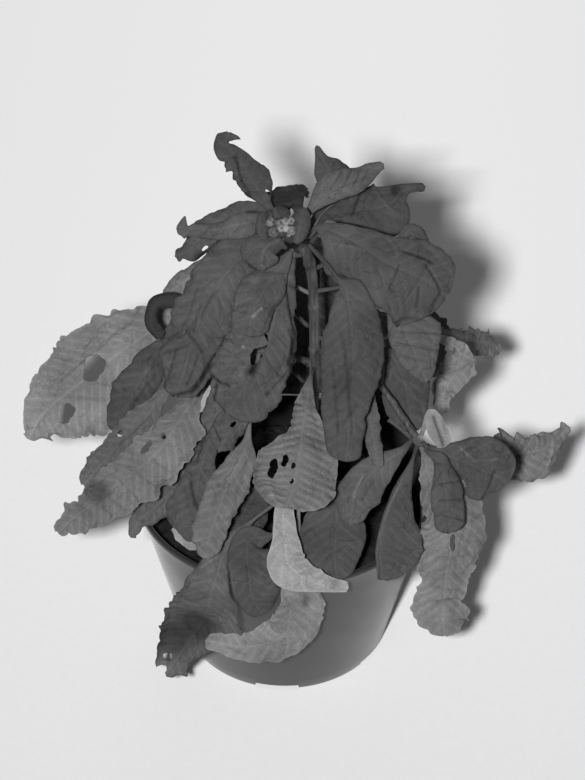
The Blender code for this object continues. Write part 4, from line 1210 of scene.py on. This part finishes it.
    DryLeaf("leaf_big_left", Skin.PALE, 0.174, ((-32, -8, 170), (-44, 8, 176)), (
        (-54, 21, 173, 8, 5), (-74, 12, 165, 19, 23), (-97, 0, 152, 21, 27),
        (-115, -7, 139, 11, 17), (-123, -12, 127, 2, 2)), -24, CREASED, curl=(30, 30), marks=(
        Gap((0.48, -0.08), 6.2, 5.4), Gap((0.74, 0.33), 5.4, 3.8), Gap((0.42, 0.49), 4, 3.4),
        Lobe(1, -1, 6.5, 1.1), Lobe(0.94, 1, 4.5, 1.1), Lobe(0.89, 1, -1.5, 2),
        Fold((0.18, -0.62), (0.66, -0.38), -0.8, 0.8, 0.85),
        Fold((0.52, 0.54), (0.74, -0.26), -0.7, 0.7, 0.8), Lobe(0.56, -1, -1.2, 2),
        Lobe(0.78, -1, 1.2, 1.5))),
    DryLeaf("leaf_left_shaded", Skin.DARK, 0.055, ((-36, -12, 168),), (
        (-54, 0, 173, 3.5, 3.5), (-66, -8, 161, 9.5, 9), (-74, -15, 148, 9.5, 9),
        (-80, -20, 137, 4, 4)), -20, CREASED, marks=(
        Patch((0.32, 0.07), 1.6, 1.5, 0.4), Fold((0.85, 0.29), (0.32, 0.57), -0.6, 0.6, 0.7))),
    DryLeaf("leaf_left_curl", Skin.DARK, 0.027, ((-22, -8, 177), (-32, -6, 192)), (
        (-43, -4, 197, 2.5, 2.5), (-50, -5, 200, 3.5, 3.5), (-58, -7, 199, 3.5, 3.5),
        (-60, -10, 191, 3.5, 3), (-55, -12, 185, 2.5, 2.5)), -40),
    DryLeaf("leaf_upper_left", Skin.DARK, 0.12, ((11, 2, 200), (-12, 8, 209)), (
        (-36, 10, 211, 2.5, 2.5), (-45, 9, 203, 5.5, 7), (-55, 7, 195, 2.5, 3)), -18, CREASED,
        marks=(
        Patch((0.48, 0.44), 3.2, 1.6, 0),)),
    DryLeaf("leaf_rugged_left", Skin.PALE, 0.143, ((-38, -18, 160),), (
        (-45, -28, 155, 5.5, 6.5), (-57, -39, 141, 11, 15), (-79, -47, 125, 9, 13),
        (-96, -51, 112, 5.5, 8), (-105, -53, 104, 3.5, 2.5)), -24, CRISP, curl=(40, 40), marks=(
        Lobe(0.05, 1, 5, 4), Patch((0.67, -0.36), 5, 0.5, -2.5), Gap((0.29, -0.41), 4.2, 1.5),
        Gap((0.18, -0.27), 1.4, 1.3), Fold((0.64, 0.27), (0.61, 0.82), -0.6, 0.5, 0.7),
        Fold((0.7, 0.23), (0.69, 0.82), -0.6, 0.5, 0.7),
        Fold((0.53, -0.23), (0.52, 0.91), -0.6, 0.5, 0.75),
        Fold((0.43, -0.05), (0.4, 0.73), -0.6, 0.5, 0.75),
        Fold((0.32, -0.05), (0.29, 0.68), -0.6, 0.5, 0.75), Lobe(0.65, -1, 1.5, 1),
        Lobe(0.86, -1, 3, 1.1), Lobe(0.79, -1, -2, 1.2), Lobe(0.87, 1, 2, 1.2),
        Lobe(0.95, 1, -2, 1.2))),
    DryLeaf("leaf_rugged_under", Skin.PALE, 0.096, ((-41, -14, 158),), (
        (-54, -18, 159, 2, 2), (-65, -25, 148, 6.5, 6.5), (-80, -31, 134, 7.5, 7.5),
        (-94, -37, 119, 4.5, 5.5)), -20, CRISP, marks=(
        Gap((0.49, -0.45), 1.6, 1.5), Fold((0.23, 0.18), (0.57, 0), -0.6, 0.6, 0.7),
        Lobe(0.82, -1, 1.2, 1))),
    DryLeaf("leaf_crumpled", Skin.DARK, 0.068, ((-16, -9, 173), (-17, -24, 171)), (
        (-17, -37, 165, 3.5, 3.5), (-23, -43, 158, 8, 6), (-29, -47, 147, 4.5, 4.5)), -26,
        SHRIVELLED, marks=(
        Fold((0.59, -1), (0.81, -0.27), -0.8, 0.5, 0.3), Gap((0.43, 0), 1.6, 1),
        Patch((0.27, 1), 3, 1.4, 0))),
    DryLeaf("leaf_rear_left", Skin.DARK, 0.068, ((10, 4, 182),), (
        (-14, 34, 190, 3, 3), (-38, 60, 166, 15, 16), (-52, 80, 128, 13, 14),
        (-57, 88, 106, 3, 3)), -30, CREASED, face=(-0.3, 0.7, 0.6)),
    DryLeaf("leaf_rear_mid", Skin.DARK, 0.062, ((37, 47, 160),), (
        (42, 55, 160, 3, 3), (50, 64, 140, 13, 14), (53, 75, 110, 12, 12), (53, 80, 90, 3, 3)),
        -30, CREASED, face=(0, 0.7, 0.6)),
    DryLeaf("leaf_rear_right", Skin.DARK, 0.074, ((31, 38, 171),), (
        (52, 60, 172, 4, 4), (72, 80, 144, 16, 16), (80, 90, 112, 13, 12), (81, 92, 92, 3, 3)),
        -30, CREASED, face=(0.4, 0.7, 0.6)),
    DryLeaf("leaf_rear_inner", Skin.DARK, 0.056, ((15, 4, 196),), (
        (14, 34, 207, 6, 6), (14, 50, 202, 17, 16), (13, 62, 175, 26, 23), (12, 71, 130, 24, 23),
        (12, 80, 89, 12, 12)), -24, CREASED, face=(0, 0.7, 0.6), marks=(
        Lobe(0.9, 1, 8, 9), Lobe(0.9, -1, 8, 9))),
    DryLeaf("bract_rear", Skin.BRACT, 0.037, ((6, 7, 224),), (
        (6, 12, 238, 2.5, 2.5), (2, 22, 238, 9, 9), (1, 47, 230, 10.5, 11), (0, 70, 221, 5, 5)),
        -20, CREASED),
    DryLeaf("leaf_rear_low_left", Skin.DARK, 0.043, ((8, 5, 150),), (
        (-4, 26, 152, 3, 3), (-14, 44, 134, 14, 14), (-20, 55, 110, 14, 14), (-23, 60, 90, 4, 4)),
        -26, CREASED, face=(-0.2, 0.7, 0.6)),
    DryLeaf("leaf_rear_low_right", Skin.DARK, 0.043, ((19, 4, 148),), (
        (30, 22, 152, 3, 3), (39, 34, 134, 13, 13), (45, 42, 110, 13, 12), (48, 46, 92, 4, 4)),
        -26, CREASED, face=(0.2, 0.7, 0.6)),
)


@dataclass
class Foliage:
    """All bracts and leaves, each its own piece that stands for its node."""

    leaves: tuple = LEAVES
    phase_step: float = 0.17

    def build(self) -> None:
        """Build every leaf and hand it over."""
        materials = {skin: finish.build() for skin, finish in SKINS.items()}
        tool = crumple_tool()
        for number, leaf in enumerate(self.leaves):
            hand_over(leaf.build(self.phase_step * number, tool, materials),
                      leaf.skin.value, leaf.name)


# Stems.


@dataclass
class StemWork:
    """The upright stem and its four branches, swept along stations in mm."""

    runs: dict = field(default_factory=lambda: {
        "stem_main": ((6, 3, 77.0, 3.3), (6, 3, 79.2, 3.2), (11, 1, 112, 2.9), (14, 0, 145, 2.6),
                      (14, 0, 178, 2.4), (13, 0, 206, 2.3), (11, 0, 218, 2.4),
                      (8, 0, 225, 2.2)),
        "branch_right": ((15, 0, 168, 1.7), (17.5, -1, 170, 1.6), (32, -10, 173, 1.5),
                         (46, -22, 162, 1.4), (60, -34, 145, 1.9)),
        "branch_left": ((12, 0, 162, 1.7), (10.3, 0, 164, 1.6), (-10, -5, 173, 1.6),
                        (-30, -12, 167, 1.5), (-43, -18, 151, 1.6)),
        "branch_low": ((11, -1.5, 104, 1.8), (11, -3.5, 106, 1.7), (8, -22, 116, 1.6),
                       (4, -36, 115, 1.8)),
        "branch_back": ((14, 1.5, 166, 1.8), (15, 3.5, 168, 1.7), (24, 20, 174, 1.6),
                        (34, 42, 166, 1.8)),
    })
    grain: float = 0.8
    sides: int = 20
    joint_gap: float = 23.0
    joint_swell: float = 0.22
    joint_reach: float = 1.3

    def build(self) -> None:
        """Sweep every stem and hand it over."""
        material = BarkFinish().build()
        tool = sweep_tool()
        for name, stations in self.runs.items():
            table = np.array(stations, float)
            knots = lengths(table[:, :3])
            s = np.linspace(0.0, knots[-1], int(knots[-1] / self.grain) + 2)
            rows = follow(table, knots, s)
            beat = np.abs((s / self.joint_gap + 0.4) % 1.0 - 0.5) * self.joint_gap
            swell = 1 + self.joint_swell * bell(beat, self.joint_reach)
            mesh = make_mesh(rows[:, :3] * MM, edges=[(i, i + 1) for i in range(len(s) - 1)])
            store(mesh, "girth", rows[:, 3] * swell * MM)
            store(mesh, "reach", s * MM)
            item = place_object(f"dry_{name}", mesh)
            tool.run(item, Steps=self.sides, Material=material)
            hand_over(item, "stem_bark", name)


# Pot and soil.


@dataclass
class GrowerPot:
    """Tapered plastic pot with a rolled lip, foot ring, notches and drain holes."""

    height: float = 0.092
    lip_radius: float = 0.075
    lip_height: float = 0.0032
    wall_top: float = 0.0738
    base_radius: float = 0.0555
    wall: float = 0.0017
    floor_top: float = 0.0038
    foot_depth: float = 0.0022
    foot_inner: float = 0.049
    boss: float = 0.015
    steps: int = 192
    notches: int = 6
    notch_height: float = 0.003
    notch_width: float = 0.023
    notch_taper: float = 0.0006
    notch_reach: float = 0.008
    notch_first: float = math.radians(-94.4)
    drain_radius: float = 0.004
    drain_circle: float = 0.034
    drain_steps: int = 24

    def radius_at(self, height: float) -> float:
        """Return the outer radius of the wall at a height."""
        top = self.height - self.lip_height
        return self.base_radius + (self.wall_top - self.base_radius) * height / top

    def profile(self) -> list[tuple[float, float]]:
        """Return the closed section of the pot from the inner floor round to the foot."""
        low = self.height - self.lip_height
        inner = [(radius, self.floor_top) for radius in (0.0, 0.012, 0.025, 0.04)]
        edge = self.radius_at(self.floor_top) - self.wall
        inner += [(edge - 0.002, self.floor_top), (edge - 0.0006, self.floor_top + 0.0004),
                  (edge, self.floor_top + 0.0016)]
        levels = np.linspace(0.08, 0.97, 12)
        inner += [(self.radius_at(low * t) - self.wall, low * t) for t in levels]
        inner += [(self.radius_at(low) - self.wall + 0.0002, low)]
        lip = [(self.lip_radius - inset, self.height - drop) for inset, drop in
               ((0.0024, 0.0004), (0.0020, 0.0), (0.0010, 0.0), (0.0003, 0.0003), (0.0, 0.0010))]
        lip += [(self.lip_radius - inset, low + rise) for inset, rise in
                ((0.0, 0.0010), (0.0003, 0.0003), (0.0009, 0.0))]
        outer = [(self.radius_at(low * t), low * t) for t in levels[::-1]]
        foot = [(self.radius_at(0.0012), 0.0012), (self.base_radius - 0.0001, 0.0004),
                (self.base_radius - 0.0006, 0.0), (self.foot_inner + 0.0002, 0.0),
                (self.foot_inner, 0.0002), (self.foot_inner - 0.0008, self.foot_depth),
                (0.030, self.foot_depth), (self.boss + 0.0008, self.foot_depth),
                (self.boss, 0.0), (0.0, 0.0)]
        return inner + lip + outer + foot

    def cutters(self) -> bpy.types.Object:
        """Return one body with the notch blocks and drain rods."""
        points, faces = [], []

        def put(low: list, high: list) -> None:
            """Add a prism between two rings of points."""
            base, count = len(points), len(low)
            points.extend(low + high)
            faces.append(tuple(base + k for k in reversed(range(count))))
            faces.append(tuple(base + count + k for k in range(count)))
            faces.extend((base + k, base + (k + 1) % count, base + count + (k + 1) % count,
                          base + count + k) for k in range(count))

        middle = self.base_radius - 0.003
        for number in range(self.notches):
            angle = self.notch_first + number * 2 * math.pi / self.notches
            turn = Matrix.Rotation(angle, 3, "Z")
            put(*([tuple(turn @ Vector((middle + x * self.notch_reach, y * half, z)))
                   for x, y in ((-1, -1), (1, -1), (1, 1), (-1, 1))]
                  for z, half in ((-0.001, self.notch_width / 2),
                                  (self.notch_height, self.notch_width / 2 - self.notch_taper))))
            angle += math.pi / self.notches
            x0, y0 = self.drain_circle * math.cos(angle), self.drain_circle * math.sin(angle)
            rounds = [2 * math.pi * k / self.drain_steps for k in range(self.drain_steps)]
            put(*([(x0 + self.drain_radius * math.cos(a), y0 + self.drain_radius * math.sin(a), z)
                   for a in rounds] for z in (-0.002, 0.008)))
        return place_object("pot_cutters", make_mesh(points, faces))

    def build(self) -> None:
        """Turn, cut and dress the pot."""
        points, faces = revolve(self.profile(), self.steps)
        item = place_object("plastic_pot",
                            make_mesh(points, faces, material=PlasticFinish().build()))
        cutter = self.cutters()
        cut = item.modifiers.new("Cut", "BOOLEAN")
        cut.operation, cut.solver, cut.object = "DIFFERENCE", "EXACT", cutter
        make_plain(item)
        bpy.data.objects.remove(cutter, do_unlink=True)
        item.data.shade_smooth()
        item.data.set_sharp_from_angle(angle=math.radians(35))
        hand_over(item, "pot_plastic", "pot")


@dataclass
class SoilBed:
    """Sunken dry soil with crumbs strewn on it."""

    gap: float = 0.0004
    top: float = 0.0785
    edge: float = 0.0755
    margin: float = 0.0005
    bumps: float = 0.00035
    crumb_density: float = 150000.0
    seed: int = 11

    def build(self, pot: GrowerPot) -> None:
        """Build the plug and its crumbs inside a pot."""
        low = pot.floor_top + self.gap
        inset = pot.wall + self.gap
        rim = pot.radius_at(self.edge) - inset
        rings = np.linspace(0.03, 1.0, 40)
        profile = [(0.0, self.top)]
        profile += [(rim * t, self.top - (self.top - self.edge) * t ** 4) for t in rings]
        profile += [(pot.radius_at(h) - inset, h) for h in (0.06, 0.035, low + 0.001)]
        profile += [(pot.radius_at(low) - inset - 0.001, low), (0.0, low)]
        points, faces = revolve(profile, 128)
        rng = np.random.default_rng(self.seed)
        flat = np.hypot(points[:, 0], points[:, 1])
        upper = (points[:, 2] > self.edge - self.margin) & (flat < rim - self.margin)
        points[upper, 2] += rng.normal(0.0, self.bumps, upper.sum())
        material = SoilFinish().build()
        plug = place_object("peat_plug", make_mesh(points, faces, material=material))
        plug.data.shade_smooth()
        bed = make_mesh(points, [f for f in faces if all(upper[k] for k in f)])
        crumbs = place_object("peat_crumbs", bed)
        scatter_tool().run(crumbs, Density=self.crumb_density, Seed=self.seed, Material=material)
        hand_over(plug, "soil", "soil")
        hand_over(crumbs, "soil")


# Flower.


@dataclass
class BloomCluster:
    """Bead buds on their receptacle with three small bractlets, grown as one.

    Each body is a centre, radii and turns, in mm and degrees. A bud is a centre and a radius.
    """

    receptacle: tuple = ((2.0, -3.6, 231.6), (2.3, 2.3, 6.4), (36, -20, 0))
    stalk: tuple = ((-0.8, -9.0, 238.8), (5.4, 3.4, 4.2), (-35, 0, 0))
    buds: tuple = ((-5.4, -10.3, 241.8, 2.2), (-4.2, -12.7, 238.4, 2.5),
                   (-1.7, -10.6, 241.5, 2.0), (-1.2, -11.8, 239.7, 1.9),
                   (0.5, -10.1, 242.1, 1.9), (2.9, -9.9, 242.4, 2.1),
                   (3.3, -12.3, 239.0, 2.2), (0.9, -11.6, 240.0, 1.9))
    bractlets: tuple = (((-8.4, -9.6, 239.8), (3.6, 1.0, 6.2), (-30, 8, 15)),
                        ((-3.2, -6.2, 243.0), (6.4, 1.0, 3.8), (-45, -12, 10)),
                        ((6.9, -9.5, 240.0), (4.6, 1.1, 8.0), (-35, 6, -12)))
    green_tone: float = 0.07
    bractlet_tone: float = 0.048
    seed: int = 5

    @staticmethod
    def _ball(levels: int, rounds: int) -> tuple[np.ndarray, list]:
        """Return a unit ball as points and faces."""
        return revolve([(0.0, 1.0)] + [
            (math.sin(math.pi * k / levels), math.cos(math.pi * k / levels))
            for k in range(1, levels)] + [(0.0, -1.0)], rounds)

    @staticmethod
    def _turned(points: np.ndarray, centre: Point, radii: Point, turns: Point) -> np.ndarray:
        """Stretch, turn and move ball points."""
        matrix = Matrix.Rotation(math.radians(turns[2]), 3, "Z")
        matrix = matrix @ Matrix.Rotation(math.radians(turns[1]), 3, "Y")
        matrix = matrix @ Matrix.Rotation(math.radians(turns[0]), 3, "X")
        return (points * np.array(radii)) @ np.array(matrix).T + np.array(centre)

    def build(self) -> None:
        """Build the cluster as one piece."""
        rng = np.random.default_rng(self.seed)
        ball, faces = self._ball(14, 20)
        points, quads, tones = [], [], []

        def put(shape: np.ndarray, body: tuple, tone: Value) -> None:
            """Add a ball shape with its place, radii and turns, and its tone."""
            base = sum(len(p) for p in points)
            points.append(self._turned(shape, *body))
            tones.append(tone * np.ones(len(ball)))
            quads.extend(tuple(base + k for k in face) for face in faces)

        put(ball, self.receptacle, self.green_tone)
        put(ball, self.stalk, self.green_tone)
        for x, y, z, radius in self.buds:
            mouth = np.exp(-((ball[:, 0] ** 2 + ball[:, 1] ** 2) / 0.12)) * (ball[:, 2] > 0)
            shape = ball * (1 - 0.45 * mouth)[:, None]
            shape *= (1 + 0.07 * np.sin(5 * np.arctan2(ball[:, 1], ball[:, 0])))[:, None]
            turns = (rng.uniform(30, 75), rng.uniform(-25, 25), rng.uniform(0, 90))
            stretch = (radius * 0.95, radius * 0.95, radius * 1.08)
            put(shape, ((x, y, z), stretch, turns), rng.uniform(0.1, 0.34) * (1 - 0.75 * mouth))
            for _ in range(2):
                off = rng.uniform(-1, 1, 3) * radius * 0.9
                small = rng.uniform(0.3, 0.5) * radius
                put(ball, ((x + off[0], y + off[1], z + off[2]), (small, small, small * 1.3),
                           rng.uniform(0, 90, 3)), rng.uniform(0.06, 0.4))
        for centre, radii, turns in self.bractlets:
            shape = ball.copy()
            shape[:, 1] += 0.9 * (ball[:, 0] ** 2)
            slim = (radii[0], radii[1] * 0.55, radii[2])
            rib = 1 + 0.3 * bell(ball[:, 0], 0.12)
            put(shape, (centre, slim, turns), self.bractlet_tone * rib)
        mesh = make_mesh(np.concatenate(points) * MM, quads, material=BeadFinish().build())
        store(mesh, "tone", np.concatenate(tones))
        mesh.shade_smooth()
        hand_over(place_object("bead_cluster", mesh), "flower_bud", "flower_cluster")


# Studio.


@dataclass
class Studio:
    """Pale paper floor, soft lights and the camera."""

    eye: Point = (0.0038, -0.471, 0.476)
    pitch: float = math.radians(34.9)
    lens: float = 55.385
    sensor: float = 36.0
    floor_half: float = 9.0
    sky: float = 0.085
    key_energy: float = 18.5
    key_place: Point = (-0.045, -0.485, 0.482)
    key_aim: Point = (0.0, 0.0, 0.13)
    key_size: float = 0.035
    wash_energy: float = 3.0
    wash_place: Point = (0.1, 1.9, 1.5)
    wash_aim: Point = (0.0, 1.15, 0.0)
    wash_size: float = 1.0

    @staticmethod
    def _lamp(name: str, energy: float, place: Point, aim: Point,
              size: float) -> bpy.types.Light:
        """Return a new square lamp at a place, turned to a point."""
        lamp = bpy.data.lights.new(name, "AREA")
        lamp.size = size
        lamp.energy = energy
        item = place_object(name, lamp)
        item.location = place
        item.rotation_euler = (Vector(aim) - Vector(place)).to_track_quat("-Z", "Y").to_euler()
        return lamp

    def build(self) -> None:
        """Make floor, world, lights and camera."""
        half = self.floor_half
        corners = [(-half, -half, 0), (half, -half, 0), (half, half, 0), (-half, half, 0)]
        place_object("studio_floor", make_mesh(corners, [(0, 1, 2, 3)],
                                                        material=PaperFinish().build()))
        world = bpy.data.worlds.new("studio")
        world.use_nodes = True
        back = world.node_tree.nodes["Background"]
        back.inputs["Color"].default_value = (1.0, 1.0, 1.0, 1.0)
        back.inputs["Strength"].default_value = self.sky
        bpy.context.scene.world = world
        key = self._lamp("key", self.key_energy, self.key_place, self.key_aim, self.key_size)
        key.use_nodes = True
        bench = NodeBench(key.node_tree)
        even = bench.add("ShaderNodeLightFalloff", {"Strength": 1.0}).outputs["Constant"]
        reach = bench.add("ShaderNodeLightPath").outputs["Ray Length"]
        bench.feed(key.node_tree.nodes["Emission"].inputs["Strength"],
                   bench.product(even, reach))
        self._lamp("wash", self.wash_energy, self.wash_place, self.wash_aim, self.wash_size)
        camera = place_object("camera", bpy.data.cameras.new("camera"))
        camera.location = self.eye
        camera.rotation_euler = (math.pi / 2 - self.pitch, 0.0, 0.0)
        camera.data.lens = self.lens
        camera.data.sensor_width = self.sensor
        camera.data.clip_start = 0.01
        bpy.context.scene.camera = camera
        bpy.context.scene.view_settings.view_transform = "Standard"


def main() -> None:
    """Build every sub-assembly in order and note the sizes."""
    logging.basicConfig(level=logging.INFO, format="%(name)s %(message)s")
    Studio().build()
    pot = GrowerPot()
    pot.build()
    SoilBed().build(pot)
    StemWork().build()
    BloomCluster().build()
    Foliage().build()


if __name__ == "__main__":
    main()
